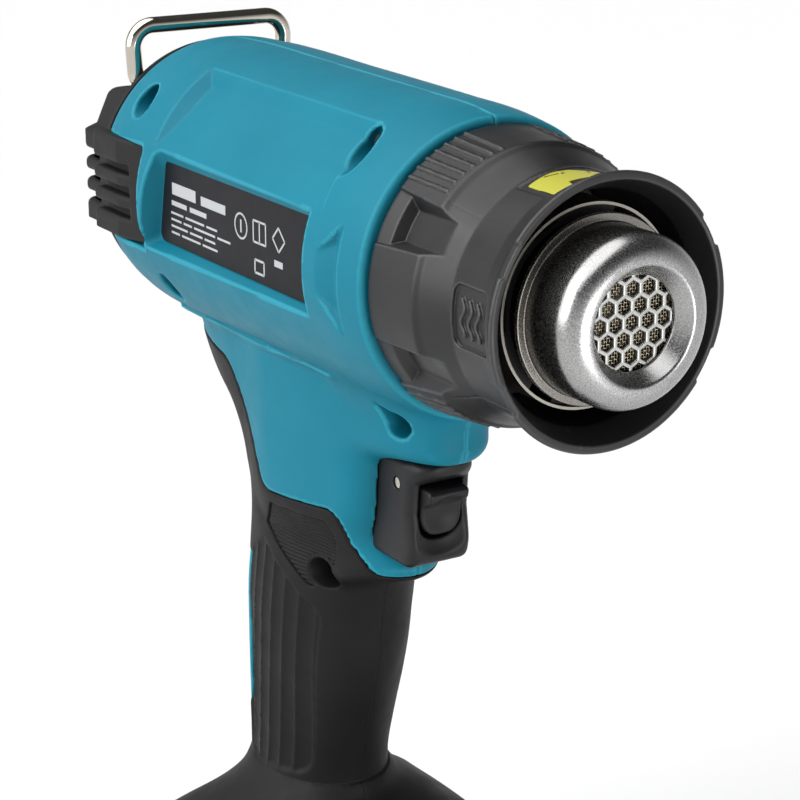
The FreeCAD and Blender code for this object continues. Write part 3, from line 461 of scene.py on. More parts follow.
SHIELD = metal("shield_steel", (0.30, 0.285, 0.25), (0.35, 0.5), 0.0008, 0.00002, (0.2, 1.0, 1.0))
BRONZE = metal("bearing_bronze", (0.42, 0.27, 0.10), (0.35, 0.5))
COPPER = metal("heater_wire", (0.30, 0.25, 0.20), (0.4, 0.55))
ALUMINIUM = metal("heat_sink_metal", (0.48, 0.48, 0.49), (0.35, 0.5), 0.0005, 0.00001, (6.0, 1.0, 1.0))
FERRITE = moulded("ferrite", (0.020, 0.019, 0.019), (0.013, 0.013, 0.013), 0.0005, 0.00003, (0.5, 0.7))
CERAMIC = moulded("ceramic", (0.42, 0.39, 0.33), (0.35, 0.32, 0.26), 0.0006, 0.00003, (0.6, 0.8))
BOARD = moulded("circuit_board", (0.010, 0.085, 0.030), (0.006, 0.060, 0.022), 0.0015, 0.00001, (0.25, 0.4))
WRAP = moulded("cell_wrap", (0.030, 0.10, 0.23), (0.024, 0.085, 0.20), 0.002, 0.00001, (0.3, 0.4))
LEADS = moulded("lead_insulation", (0.16, 0.012, 0.010), (0.12, 0.010, 0.008), 0.0008, 0.00001, (0.4, 0.55))
FILTER = moulded("filter_foam", (0.014, 0.014, 0.014), (0.006, 0.006, 0.006), 0.0009, 0.0002, (0.7, 0.9))
LENS = moulded("gauge_lens", (0.05, 0.012, 0.010), (0.035, 0.009, 0.008), 0.001, 0.000003, (0.12, 0.2),
               gloss=0.5)
DECAL = moulded("decal_yellow", (0.37, 0.36, 0.045), (0.34, 0.33, 0.04), 0.0003, 0.000005, (0.35, 0.45))


def nozzle_steel():
    """Polished tube, blasted to a fine speckle round the shoulder, darker bronze towards the rear: partly
    heat tint, partly painted shade inside the guard.
    """
    m = Nodes("nozzle_steel")
    m.shader.inputs["Metallic"].default_value = 1.0
    speckle = m.noise(0.0003, 2.0)
    fine = m.range(speckle, 0.35, 0.65, 0.0, 1.0)
    position = m.add("ShaderNodeSeparateXYZ", Vector=m.place)
    # dark bronze towards the rear: partly heat tint and partly painted shade inside the guard
    along = m.range(position.outputs["X"], ORIGIN.x + 0.0095, ORIGIN.x - 0.012, 0.0, 1.0)
    steel = m.mix(fine, (0.29, 0.29, 0.295), (0.43, 0.425, 0.42))
    m.link(m.mix(along, steel, (0.13, 0.115, 0.09)), m.shader.inputs["Base Color"])
    m.link(m.range(speckle, 0.3, 0.7, 0.2, 0.34), m.shader.inputs["Roughness"])
    m.link(m.bump(speckle, 0.00003, 0.3), m.shader.inputs["Normal"])
    return m.material


STEEL = nozzle_steel()

# ---- housing

BARREL_FRONT = -39.3
BARREL_REAR = -157.5
barrel_radius = through([
    (BARREL_FRONT, 31.2), (-47.0, 32.1), (-63.0, 32.5), (-100.0, 33.1), (-141.0, 33.4), (-150.0, 32.9),
    (-155.0, 31.9), (BARREL_REAR, 30.6),
])
handle_rear = through([
    (-14.0, -158.0), (-24.0, -158.0), (-31.0, -155.5), (-38.0, -151.5), (-43.0, -146.5), (-47.0, -140.5),
    (-53.0, -134.5), (-61.0, -130.2), (-70.0, -128.0), (-80.0, -128.2), (-92.0, -130.0), (-105.0, -131.0),
    (-130.0, -131.4), (-160.0, -132.0),
])
handle_front = through([
    (-14.0, -62.0), (-45.0, -72.0), (-62.0, -76.0), (-78.0, -79.8), (-92.0, -82.4), (-101.0, -83.6),
    (-110.0, -85.8), (-118.0, -88.3), (-130.0, -91.4), (-160.0, -91.6),
])
handle_half = through([
    (-14.0, 20.0), (-28.0, 18.8), (-45.0, 17.4), (-62.0, 17.0), (-92.0, 17.4), (-105.0, 16.7), (-118.0, 15.9),
    (-130.0, 15.2), (-160.0, 15.2),
])
foot_rear = through([(-136.0, -131.5), (-141.0, -132.0), (-147.0, -135.0), (-152.0, -138.8), (-158.0, -144.0),
                     (-162.0, -149.5), (-165.0, -153.5), (-168.0, -155.5)])
foot_front = through([(-136.0, -91.4), (-141.0, -88.0), (-146.0, -76.0), (-151.0, -60.0), (-157.0, -46.0),
                      (-162.0, -42.6), (-168.0, -42.4)])
foot_half = through([(-136.0, 15.2), (-141.0, 18.8), (-146.0, 25.0), (-151.0, 31.5), (-156.0, 35.8),
                     (-161.0, 37.0), (-168.0, 37.2)])
FOOT_BOTTOM = -168.0
FOOT_TOP = -136.0
CHIN_BOTTOM = -44.5
CHIN_HALF = 12.5
NOSE_CENTRE = -67.3
NOSE_LENGTH = 20.0
RIM_CENTRE = -84.5
RIM_LENGTH = 17.8
chin_side = Outline([
    (-104.0, -8.0, 0), (-46.4, -8.0, 0), (-46.7, -30.0, 0), (-47.8, CHIN_BOTTOM, 4.0),
    (-72.8, CHIN_BOTTOM, 4.5), (-73.2, -70.0, 6.0), (-60.0, -70.3, 0), (-60.0, -76.4, 0),
    (-74.0, -77.4, 4.0), (-84.0, -80.5, 3.0), (-104.0, -84.0, 0),
])
FACET_BEARING = (21.0, 32.0, 42.0, 51.0, 90.0)
FACET_DEPTH = (0.0, 1.5, 2.3, 2.3, 1.9)
FACET_TOP = 62.0
FACET_REAR = -129.0
FACET_FRONT = -56.0
PLATE_FLOOR = 28.5
PLATE_TOP = 9.4
PLATE_BOTTOM = -8.6
PLATE_FRONT = -60.0
DIP_REAR = -54.6
DIP_FRONT = -46.6


def barrel_dents(p):
    """Depth of the long flat on each shoulder and of the V-shaped dip ahead of the name plate."""
    bearing = np.degrees(np.arctan2(p.z, p.side))
    across = np.interp(bearing, FACET_BEARING, FACET_DEPTH)
    across = np.minimum(across, (FACET_TOP - bearing) * 0.36)
    along = np.minimum((p.x - FACET_REAR) * 0.62, (FACET_FRONT - p.x) * 0.9)
    facet = np.minimum(across, along)
    dip = np.minimum((p.x - DIP_REAR) * 0.34, (DIP_FRONT - p.x) * 0.55)
    dip = np.minimum(dip, (4.9 + (p.x - DIP_REAR) * 0.88 - p.z) * 0.9)
    dip = np.minimum(dip, (p.z + 3.0 + (p.x - DIP_REAR) * 1.05) * 0.8)
    return np.clip(np.maximum(facet, dip), 0.0, None).astype(np.float32)


def barrel(p):
    d = p.radius() - barrel_radius(p.x) + barrel_dents(p)
    return round_max(d, slab(p.x, BARREL_REAR, BARREL_FRONT), 1.0)


def handle(p, inset=0.0):
    rear = handle_rear(p.z)
    front = handle_front(p.z)
    a = (front - rear) / 2 - inset
    return ellipse(p.x - (front + rear) / 2, p.y, a, handle_half(p.z) - inset)


def foot(p, inset=0.0):
    """Flared end of the handle over the battery: an ellipse that spreads into a rounded box."""
    spread = ramp(p.z, FOOT_TOP, -158.0)
    rear = foot_rear(p.z) + inset
    front = foot_front(p.z) - inset
    half = foot_half(p.z) - inset
    oval = ellipse(p.x - (front + rear) / 2, p.y, (front - rear) / 2, half)
    boxed = round_max(slab(p.x, rear, front), p.side - half, 15.0)
    return (oval + (boxed - oval) * ease(spread)) * (1.0 - 0.35 * ease(ramp(p.z, FOOT_TOP, -142.0)))


def handle_and_foot(p, inset=0.0):
    d = handle(p, inset)
    low = p.z < FOOT_TOP
    if low.any():
        d[low] = foot(p.only(low), inset)
    return round_max(d, FOOT_BOTTOM - p.z, 0.8)


def chin(p, inset=0.0):
    """Switch housing under the barrel with its rounded nose and the hook round the trigger."""
    upper = ease(ramp(p.z, -68.0, -46.0)).astype(np.float32)
    centre = RIM_CENTRE + (NOSE_CENTRE - RIM_CENTRE) * upper
    length = RIM_LENGTH + (NOSE_LENGTH - RIM_LENGTH) * upper - inset
    nose = ellipse(p.x - centre, p.y, length, CHIN_HALF - inset)
    plan = np.where(p.x > centre, nose, p.side - (CHIN_HALF - inset))
    return round_max(plan, chin_side(p.x, p.z) + inset, 4.2 if inset == 0.0 else 0.5)


def body_outside(p):
    """Outer surface of both housing halves, with no openings."""
    d = barrel(p)
    web = round_max(handle_and_foot(p), p.z + 27.0, 0.6)
    width = 3.0 + 13.0 * ease(ramp(p.z, -76.0, -60.0))
    web = blend_min(web, chin(p), width)
    d = blend_min(d, web, 2.0 + 5.0 * ease(ramp(p.x, -82.0, -66.0)))
    ledge = ease(np.clip(1.6 - np.abs(p.z + 27.3) / 0.7, 0.0, 1.0)) * ease(ramp(p.x, -139.0, -137.0))
    ledge = ledge * (1.0 - ease(ramp(p.x, -72.0, -69.0))) * (p.side > 12.0)
    return d - (0.75 * ledge).astype(np.float32)


def plate_pocket(p):
    """Pocket of the name plate, with sloping walls and rounded rear corners."""
    rise = p.side - PLATE_FLOOR
    rear_edge = -127.4 + (p.z - 9.2) * 0.249
    upper = (p.z - PLATE_TOP - rise * 1.5) / 1.8
    lower = (PLATE_BOTTOM - p.z - rise * 0.45) / 1.1
    rear = (rear_edge - p.x - rise * 0.45) / 1.12
    d = round_max(round_max(upper, rear, 1.6), lower, 1.6)
    d = np.maximum(d, p.x - PLATE_FRONT)
    return round_max(d, -rise, 0.3)


# each screw's place (x, z), how far its seat is from the middle plane, and the hole's radius
SCREW_PLACES = [(-143.5, 20.8, 17.0, 3.5), (-56.1, 23.6, 14.0, 4.3), (-131.0, -20.0, 12.0, 3.4),
                (-57.5, -35.7, 4.0, 2.9), (-112.0, -138.5, 8.0, 3.2), (-86.7, -78.5, 5.5, 3.7)]
GRIP_HOLE = SCREW_PLACES[-1][:2]
CHIN_TAIL = (-61.3, -31.9)
TOWER_RADIUS = 4.9
HEAD_RADIUS = 2.9


def chin_tail(p):
    """Tail that tapers up and back from the chin's screw hole and gets shallower."""
    x, z, seat, radius = SCREW_PLACES[3]
    u, v = CHIN_TAIL[0] - x, CHIN_TAIL[1] - z
    t = np.clip(((p.x - x) * u + (p.z - z) * v) / (u * u + v * v), 0.0, 1.0)
    off = np.hypot(p.x - x - u * t, p.z - z - v * t) - radius * (1.0 - 0.78 * t)
    return np.maximum(off, seat + 7.5 * t + p.y)


def screw_pockets(p):
    """Screw holes, open to the right, one with a tapering tail above it."""
    d = np.full(p.x.shape, FAR, np.float32)
    for x, z, seat, radius in SCREW_PLACES:
        wall = 1.2 if (x, z) == GRIP_HOLE else 0.0
        d = np.minimum(d, np.maximum(np.hypot(p.x - x, p.z - z) - radius - wall, seat + p.y))
    return np.minimum(d, chin_tail(p))


def boss_towers(p):
    """Solid towers round the screws, which close the pockets off from the inside."""
    d = np.full(p.x.shape, FAR, np.float32)
    for x, z, _, _ in SCREW_PLACES:
        d = np.minimum(d, np.hypot(p.x - x, p.z - z) - TOWER_RADIUS)
    return d


def screws_shape(p):
    """Domed screw heads with a star recess, each on its shank."""
    d = np.full(p.x.shape, FAR, np.float32)
    for x, z, seat, radius in SCREW_PLACES:
        off = np.hypot(p.x - x, p.z - z)
        turn = np.arctan2(p.z - z, p.x - x)
        head = round_max(off - min(HEAD_RADIUS, radius - 0.3), slab(p.y, -seat - 2.2, -seat), 0.7)
        recess = off - 1.25 - 0.2 * np.cos(6 * turn)
        head = np.maximum(head, -np.maximum(recess, p.y + seat + 1.0))
        shank = np.maximum(off - 1.5, slab(p.y, -seat - 0.1, seat - 1.0))
        d = np.minimum(d, np.minimum(head, shank))
    return d


def wing_notch(p):
    d = round_max(slab(p.z, -11.4, 12.4), p.x + 133.8, 1.5)
    return np.maximum(d, 26.0 - p.side)


grip_area = Outline([
    (-190.0, -36.5, 0), (-154.0, -36.0, 2.0), (-146.0, -34.2, 5.0), (-121.0, -36.0, 8.0),
    (-102.5, -62.0, 6.0), (-77.0, -60.4, 3.5), (-76.7, -68.5, 3.0), (-71.5, -75.0, 3.0),
    (-55.0, -76.4, 0), (-10.0, -110.0, 0), (-10.0, -158.0, 0), (-190.0, -158.0, 0),
])
spine_area = Outline([
    (-150.0, -78.0, 0), (-120.0, -78.0, 3.0), (-116.5, -86.0, 6.0), (-119.0, -120.0, 8.0),
    (-126.0, -128.0, 3.0), (-150.0, -128.0, 0),
])
GRIP_DEPTH = 1.5


def grip_edge(p):
    """Negative where the elastomer covers the housing, in side view."""
    return np.maximum(grip_area(p.x, p.z), -spine_area(p.x, p.z))


trigger_hole = Outline([(-30.0, -44.7, 0), (-73.0, -44.7, 4.5), (-73.2, -70.0, 6.0), (-30.0, -70.0, 0)])


def inside_room(p):
    """Hollow inside of the housing."""
    room = p.radius() - (barrel_radius(p.x) - 3.8)
    flat = np.maximum(np.maximum(slab(p.x, -134.0, -58.0), slab(p.z, -11.6, 14.2)), 26.5 - p.side)
    room = np.maximum(np.maximum(room, -flat), p.x + 46.0)
    throat = np.maximum(p.radius() - 24.2, -60.0 - p.x)
    grip_room = np.maximum(handle(p, 3.2), slab(p.z, -141.0, -27.0))
    switch_room = np.maximum(chin(p, 3.0), p.z + 20.0)
    trigger_room = np.maximum(trigger_hole(p.x, p.z), p.side - 8.3)
    foot_room = np.maximum(foot(p, 3.0), slab(p.z, -156.0, FOOT_TOP))
    d = np.minimum(np.minimum(room, throat), np.minimum(grip_room, switch_room))
    d = np.maximum(np.minimum(d, foot_room), -boss_towers(p))
    return np.minimum(d, trigger_room)


def rail_channel(p):
    wide = np.maximum(slab(p.z, -163.0, -159.0), p.side - 29.0)
    narrow = np.maximum(p.z + 163.0, p.side - 25.5)
    return np.maximum(np.minimum(wide, narrow), -136.0 - p.x)


def shell(p, side):
    outer = body_outside(p)
    d = outer.copy()
    d = carve(d, p, plate_pocket, 0.5, x=(-140, -56), z=(-14, 18))
    d = carve(d, p, screw_pockets, 0.5)
    d = carve(d, p, wing_notch, 0.4, x=(-170, -132), z=(-12, 13))
    skin = np.maximum(-(outer + GRIP_DEPTH), grip_edge(p) - 0.15)
    d = blend_max(d, -skin, 0.3)
    d = np.maximum(d, -inside_room(p))
    d = carve(d, p, rail_channel, 0.3, z=(-175, -155))
    return np.maximum(d, -side * p.y - 0.1)


flute_area = Outline([(-105.6, -74.6, 1.0), (-88.2, -88.6, 5.0), (-96.9, -134.0, 6.0), (-121.0, -137.0, 4.0),
                      (-120.5, -84.0, 4.0)])
FLUTE_PITCH = 4.4
FLUTE_LEAN = 0.17
knurl_area = Outline([(-100.2, -64.6, 0.8), (-80.2, -63.9, 1.5), (-80.0, -68.0, 1.0), (-82.0, -74.6, 4.5),
                      (-90.2, -83.0, 1.2), (-104.6, -70.9, 0.8)])
KNURL_PITCH = 0.95
KNURL_CORNER = (-104.6, -70.9)
TOOTH_PITCH = 1.3


def flutes(p):
    """Panel of upright scallops on the sides of the grip, leaning with the handle's front."""
    edge = np.clip(-flute_area(p.x, p.z) / 1.2, 0.0, 1.0)
    phase = (p.x + 89.3 - (p.z + 86.6) * FLUTE_LEAN) / FLUTE_PITCH
    scallop = np.sqrt(np.abs(np.sin(phase * math.pi)))
    return (edge * (0.12 + 0.62 * scallop)).astype(np.float32)


def knurl_teeth(p):
    """The knurled patch in side view, with a row of teeth along its lower rear edge."""
    u = p.x - KNURL_CORNER[0]
    v = p.z - KNURL_CORNER[1]
    along = u * 0.757 - v * 0.653
    across = u * -0.653 - v * 0.757
    teeth = np.abs(along / TOOTH_PITCH - np.round(along / TOOTH_PITCH)) * 1.5
    return np.maximum(knurl_area(p.x, p.z), across + teeth - 0.1)


def off_grip_hole(p):
    return np.hypot(p.x - GRIP_HOLE[0], p.z - GRIP_HOLE[1])


def grip(p, side):
    outer = body_outside(p) + flutes(p)
    d = round_max(outer - 0.2, grip_edge(p) + 0.05, 0.45)
    d = np.maximum(d, -(outer + GRIP_DEPTH - 0.05))
    d = blend_max(d, -np.maximum(knurl_area(p.x, p.z) - 0.1, -0.75 - outer), 0.2)
    hole = off_grip_hole(p)
    collar = np.maximum(np.maximum(hole - 4.8, outer), p.y + 5.6)
    d = np.minimum(d, collar)
    d = blend_max(d, -np.maximum(hole - 3.7, p.y + 5.5), 0.5)
    return np.maximum(d, -side * p.y - 0.16)


def knurl(p):
    """Fine raised lines across the patch beside the thumb."""
    outer = body_outside(p)
    line = (p.z + p.x * 0.06) / KNURL_PITCH
    ridge = 0.28 * np.abs(line - np.round(line)) * 2.0
    d = np.maximum(outer + 0.1 + ridge, -(outer + 1.1))
    d = np.maximum(d, knurl_teeth(p) + 0.05)
    return np.maximum(d, -np.maximum(off_grip_hole(p) - 4.6, p.y))


def build_housing():
    low, high = (-158.5, -37.8, FOOT_BOTTOM - 0.5), (-38.5, 37.8, 34.5)
    for name, side in (("right", -1), ("left", 1)):
        ys = (-37.8, 0.2) if side < 0 else (-0.2, 37.8)
        piece = field_object("shell_" + name, lambda p: shell(p, side), (low[0], ys[0], low[2]),
                             (high[0], ys[1], high[2]), 0.6)
        place(piece, "gun", "teal_shell", TEAL, "housing_" + name)
        piece = field_object("rubber_" + name, lambda p: grip(p, side), (-158.5, ys[0], -158.5),
                             (-40.0, ys[1], -25.0), 0.44)
        place(piece, "gun", "grip_rubber", RUBBER, "grip_" + name)
        ys = (-20.5, -8.0) if side < 0 else (8.0, 20.5)
        piece = field_object("knurl_" + name, knurl, (-105.5, ys[0], -84.0), (-79.0, ys[1], -63.0), 0.22)
        place(piece, "gun", "grip_rubber", RUBBER)
    piece = field_object("shell_screws", screws_shape, (-147.5, -20.0, -142.5), (-51.0, 17.0, 28.0), 0.3)
    place(piece, "gun", "screw_steel", DARK_STEEL, "housing_screws")


# ---- guard

guard_profile = Outline([
    (-39.0, 22.0, 0), (-39.0, 29.0, 0.5), (-38.2, 29.8, 0.5), (-24.4, 28.6, 0.3), (-23.2, 27.7, 0.3),
    (-16.4, 25.1, 0.15), (-6.2, 25.1, 2.0), (-3.2, 25.6, 2.0), (-1.2, 26.9, 0.4), (-0.6, 27.2, 0.4),
    (0.0, 26.9, 0.3), (0.0, 25.5, 0.3), (-5.5, 23.0, 1.0), (-7.0, 22.0, 0),
])
GUARD_BORE = 23.0
GUARD_RADIUS = 25.1
MM_PER_DEGREE = 0.438
RIB_ANGLE = 29.2
RIB_PITCH = 4.7
RIB_RADIUS = 29.5
POCKET_ANGLE = 60.0
WAVE_PITCH = 2.5


def guard_shape(p):
    r = p.radius()
    turn = np.degrees(np.arctan2(p.side, p.z))
    d = guard_profile(p.x, r)
    d = np.maximum(d, np.where(p.x < -5.5, GUARD_BORE - r, -9.0))
    groove = np.maximum(slab(p.x, -35.5, -31.5), r - 24.8)
    d = np.maximum(d, -groove)

    # finger ribs round the collar, above and below the pockets
    fold = 90.0 - np.abs(turn - 90.0)
    rib = (fold - RIB_ANGLE) / RIB_PITCH
    rib = np.abs(rib - np.round(np.clip(rib, -3, 3))) * (RIB_PITCH * math.radians(RIB_RADIUS)) - 0.42
    rib = round_max(rib, slab(p.x, -38.2, -25.4), 0.35)
    height = 30.12 - (p.x + 38.0) * 0.087
    d = blend_min(d, round_max(rib, slab(r, 27.0, height), 0.2), 0.2)

    # finger pockets with sloping sides and a shallow lead-in behind them
    off = np.radians(fold - POCKET_ANGLE)
    across = np.abs(r * np.sin(off)) * 0.78 - (r - 26.3) * 0.62 - 2.45
    lead_in = np.where(p.x > -34.6, 26.4 + (-33.4 - p.x) * 1.9, 28.7 + (-34.6 - p.x) * 0.16)
    floor = np.where(p.x > -33.4, 26.4, lead_in)
    pocket = np.maximum(across, floor - r)
    d = blend_max(d, -pocket, 0.25)

    # recess on each side with raised wave bars
    arc = (turn - 90.0) * (math.pi / 180 * GUARD_RADIUS)
    panel = round_max(slab(p.x, -16.0, -4.6), np.abs(arc) - 6.2, 1.8)
    panel = np.maximum(panel, 24.4 - r)
    wave = np.sin((arc + 3.0) * 1.25) * 0.55
    row = (p.x + 10.3 - wave) / WAVE_PITCH
    bars = np.abs(row - np.round(np.clip(row, -1, 1))) * WAVE_PITCH - 0.42
    bars = round_max(bars, np.abs(arc) - 3.9, 0.4)
    panel = blend_max(panel, -np.maximum(bars, r - 25.0), 0.2)
    d = blend_max(d, -panel, 0.25)

    # shallow recess under the sticker
    round_top = slab(np.degrees(np.arctan2(-p.y, p.z)), -13.0, 26.5) * MM_PER_DEGREE
    sticker = round_max(slab(p.x, -15.4, -5.0), round_top, 0.6)
    d = blend_max(d, -np.maximum(sticker, 24.85 - r), 0.15)

    # fine parting lines of the mould
    line = np.abs(np.abs(fold) - 46.6) * MM_PER_DEGREE - 0.06
    line = np.maximum(line, slab(p.x, -24.0, -4.5))
    return blend_max(d, -np.maximum(line, 24.9 - r), 0.12)


sticker_outline = Outline([
    (-13.8, 10.2, 0.6), (-14.9, 4.0, 6.0), (-14.2, 0.4, 2.0), (-10.1, -4.4, 0.6), (-6.9, 0.6, 0.4),
    (-7.6, 5.0, 0.5), (-5.4, 5.6, 0.5), (-5.1, 10.3, 0.6),
])


def sticker_shape(p):
    r = p.radius()
    arc = np.arctan2(-p.y, p.z) * GUARD_RADIUS
    rest = 24.78 + np.clip(p.x + 6.2, 0.0, None) * 0.05
    return round_max(sticker_outline(p.x, arc), slab(r - rest, 0.0, 0.2), 0.06)


def build_guard():
    piece = field_object("guard_shell", guard_shape, (-39.5, -31, -31), (0.5, 31, 31), 0.32)
    place(piece, "guard", "guard_plastic", BLACK, "guard")
    piece = field_object("guard_sticker", sticker_shape, (-15.6, -12.5, 20.0), (-4.2, 5.5, 25.6), 0.16)
    place(piece, "guard", "decal_yellow", DECAL, "guard_decal")


# ---- nozzle

def lathe(name, outline, segments=160):
    """Closed ring turned about the barrel axis from an (x, radius) outline."""
    outline = np.array(outline)
    n = len(outline)
    angle = np.arange(segments) * (2 * math.pi / segments)
    points = np.empty((segments, n, 3))
    points[:, :, 0] = outline[None, :, 0]
    points[:, :, 1] = outline[None, :, 1] * np.sin(angle)[:, None]
    points[:, :, 2] = outline[None, :, 1] * np.cos(angle)[:, None]
    return solid_object(name, points.reshape(-1, 3), tube_quads(segments, n, closed=True))


GRILLE_BACK = 5.7
GRILLE_FRONT = 6.4
HEX_PITCH = 3.7
HEX_FLATS = 2.75


def grille_shape(p):
    """Disc pierced by hexagons, a point of each upwards, with softly rounded bars."""
    row_pitch = HEX_PITCH * math.sqrt(3) / 2
    nearest = np.full(p.x.shape, FAR, np.float32)
    for shift in (0, 1):
        row = (p.z / row_pitch - shift) / 2
        v = (row - np.round(row)) * 2 * row_pitch
        column = p.y / HEX_PITCH - shift * 0.5
        u = (column - np.round(column)) * HEX_PITCH
        u, v = np.abs(u), np.abs(v)
        nearest = np.minimum(nearest, np.maximum(u, u * 0.5 + v * 0.866))
    opening = nearest - HEX_FLATS / 2
    d = round_max(slab(p.x, GRILLE_BACK, GRILLE_FRONT), p.radius() - 12.0, 0.1)
    return round_max(d, -opening, 0.28)


def woven_mesh():
    """Plain weave of fine wires behind the grille."""
    pitch, wire, reach, plane = 0.62, 0.13, 10.6, 5.2
    ring = np.arange(4) * (math.pi / 2)
    points, quads = [], []
    count = int(reach / pitch)
    for direction in (0, 1):
        for line in range(-count, count + 1):
            across = line * pitch
            half = math.sqrt(reach ** 2 - across ** 2)
            steps = max(2, int(half / pitch * 2))
            along = np.linspace(-half, half, 2 * steps + 1)
            wave = np.cos(along / pitch * math.pi) * wire * 0.9
            wave = wave * (1 if (line + direction) % 2 else -1)
            base = sum(len(part) for part in points)
            tube = np.empty((len(along), 4, 3))
            tube[:, :, 0] = plane + wave[:, None] + wire * np.cos(ring)
            tube[:, :, 1 + direction] = along[:, None]
            tube[:, :, 2 - direction] = across + wire * np.sin(ring)
            points.append(tube.reshape(-1, 3))
            face = tube_quads(len(along), 4)
            quads.append(base + (face if direction else face[:, ::-1]))
    return new_object("nozzle_weave", np.concatenate(points), np.concatenate(quads))


def build_nozzle():
    outline = rounded([
        (-62.0, 16.7, 0), (-4.8, 16.7, 0), (-4.8, 18.7, 0.3), (-3.8, 18.7, 0.3), (-3.8, 17.0, 0.3),
        (10.0, 17.0, 4.9), (10.0, 11.6, 1.0), (7.0, 9.2, 0.8), (6.5, 9.2, 0.1), (6.5, 9.8, 0.1),
        (9.1, 12.0, 0.6), (9.2, 16.2, 4.1), (-62.0, 16.2, 0),
    ], 12)
    piece = lathe("nozzle_tube", outline)
    place(piece, "gun", "nozzle_steel", STEEL, "nozzle")
    piece = field_object("nozzle_screen", grille_shape, (5.4, -12.3, -12.3), (6.7, 12.3, 12.3), 0.11)
    place(piece, "gun", "grille_steel", GRILLE, "nozzle_grille")
    place(woven_mesh(), "gun", "filter_mesh", WEAVE, "nozzle_mesh")


# ---- rear cover

COVER_LEVELS = (-20.5, -14.0, -11.4, -10.6, 10.8, 11.6, 19.8)
COVER_HALVES = (12.0, 18.5, 22.5, 29.8, 29.8, 26.0, 21.5)
COVER_REAR = -173.8
FIN_PITCH = 5.15


def cover_block(p, inset=0.0):
    """Block over the dial: widest at the finned cheeks, with sloping shoulders above and below."""
    half = np.interp(p.z, COVER_LEVELS, COVER_HALVES).astype(np.float32) - inset
    bow = np.clip(p.side - 16.0, 0.0, None) ** 2 * 0.018
    rear = COVER_REAR + inset + bow
    d = round_max((p.side - half) * 0.8, slab(p.x, rear, -158.0), 2.2 if inset == 0.0 else 0.5)
    return round_max(d, slab(p.z, -20.0 + inset, 19.5 - inset), 1.6)


def cover_shape(p):
    r = p.radius()
    rim = round_max(slab(p.x, -159.2, -157.5), r - 31.2, 0.5)
    plate = round_max(slab(p.x, -162.0, -158.5), r - 28.0, 0.8)
    wing = np.maximum(slab(p.z, -11.0, 12.4), slab(p.x, -160.0, -134.0))
    outer_y = 32.0 - np.clip(p.x + 147.0, 0.0, None) * 0.18
    wing = round_max(wing, p.side - outer_y, 0.9)
    wing = np.maximum(wing, 26.3 - p.side)
    ear = round_max(slab(p.x, -163.5, -158.0), np.abs(p.side - 14.0) - 3.0, 0.8)
    ear = round_max(ear, slab(p.z, 17.0, 24.6), 1.2)
    d = np.minimum(blend_min(rim, plate, 1.0), wing)
    d = blend_min(blend_min(d, cover_block(p), 1.0), ear, 0.6)
    d = np.maximum(d, -np.maximum(np.maximum(p.side, slab(p.x, -176.0, -150.0)) - 17.5,
                                  np.hypot(p.x + 161.0, p.z - 22.0) - 2.0))
    opening = np.maximum(r - 18.5, slab(p.x, -162.5, -150.0))
    room = np.maximum(cover_block(p, 2.4), -150.0 - 21.4 - p.x)
    d = np.maximum(d, -np.minimum(room, opening))
    d = np.maximum(d, -np.maximum(r - 3.1, p.x + 165.0))
    row = (p.z - 0.1) / FIN_PITCH
    nearest = np.clip(np.round(row), -1.0, 1.0)
    slot = np.abs(row - nearest) * FIN_PITCH - 1.0
    cheek = np.maximum(p.x + 143.0, 29.2 - p.side)
    through_cut = np.maximum(p.x + 163.0, 15.0 - p.side)
    slot = np.maximum(slot, np.minimum(cheek, through_cut))
    return blend_max(d, -slot, 1.4)


def build_cover():
    piece = field_object("intake_cover", cover_shape, (-175, -33, -31), (-133, 33, 31), 0.42)
    place(piece, "gun", "black_plastic", COVER, "rear_cover")


# ---- trigger

trigger_side = Outline([
    (-79.0, -44.9, 0), (-52.8, -44.9, 1.2), (-53.4, -47.6, 1.6), (-57.6, -50.0, 1.0), (-58.4, -57.0, 0),
    (-56.8, -64.5, 5.0), (-58.2, -69.7, 4.0), (-64.0, -69.8, 2.0), (-79.0, -69.6, 0),
])
lever_side = Outline([
    (-66.0, -50.6, 1.0), (-55.0, -51.2, 0.8), (-54.2, -52.0, 0.4), (-54.6, -53.8, 1.0), (-57.4, -55.4, 1.6),
    (-57.6, -58.0, 2.0), (-57.4, -62.4, 1.0), (-63.0, -62.4, 0), (-66.0, -57.0, 1.0),
])


LEVER_PIN = (-63.3, -50.8)


def pin_hole(p, radius):
    return np.hypot(p.x - LEVER_PIN[0], p.z - LEVER_PIN[1]) - radius


def lever_slot(p):
    d = round_max(p.side - 5.4, -63.6 - p.z, 5.0)
    return np.maximum(np.maximum(d, p.z + 50.2), -67.0 - p.x)


def trigger_shape(p):
    """Finger trigger: rounded front corners, slot for the lever and a scoop for the fingertip."""
    width = round_max(p.side - 8.0, p.x + 52.6, 4.5)
    crown = ellipse(p.x + 70.0, p.y, 17.5, 11.0)
    d = round_max(round_max(width, crown, 1.5), trigger_side(p.x, p.z), 2.2)
    scoop = np.sqrt((p.x + 49.4) ** 2 + (p.y * 0.95) ** 2 + (p.z + 61.6) ** 2) - 10.0
    d = blend_max(d, -scoop, 0.7)
    d = blend_max(d, -lever_slot(p), 0.5)
    d = blend_max(d, -pin_hole(p, 1.35), 0.3)
    hollow = np.maximum(np.maximum(slab(p.z, -67.5, -47.0), p.side - 6.0), p.x + 70.0)
    return np.maximum(d, -hollow)


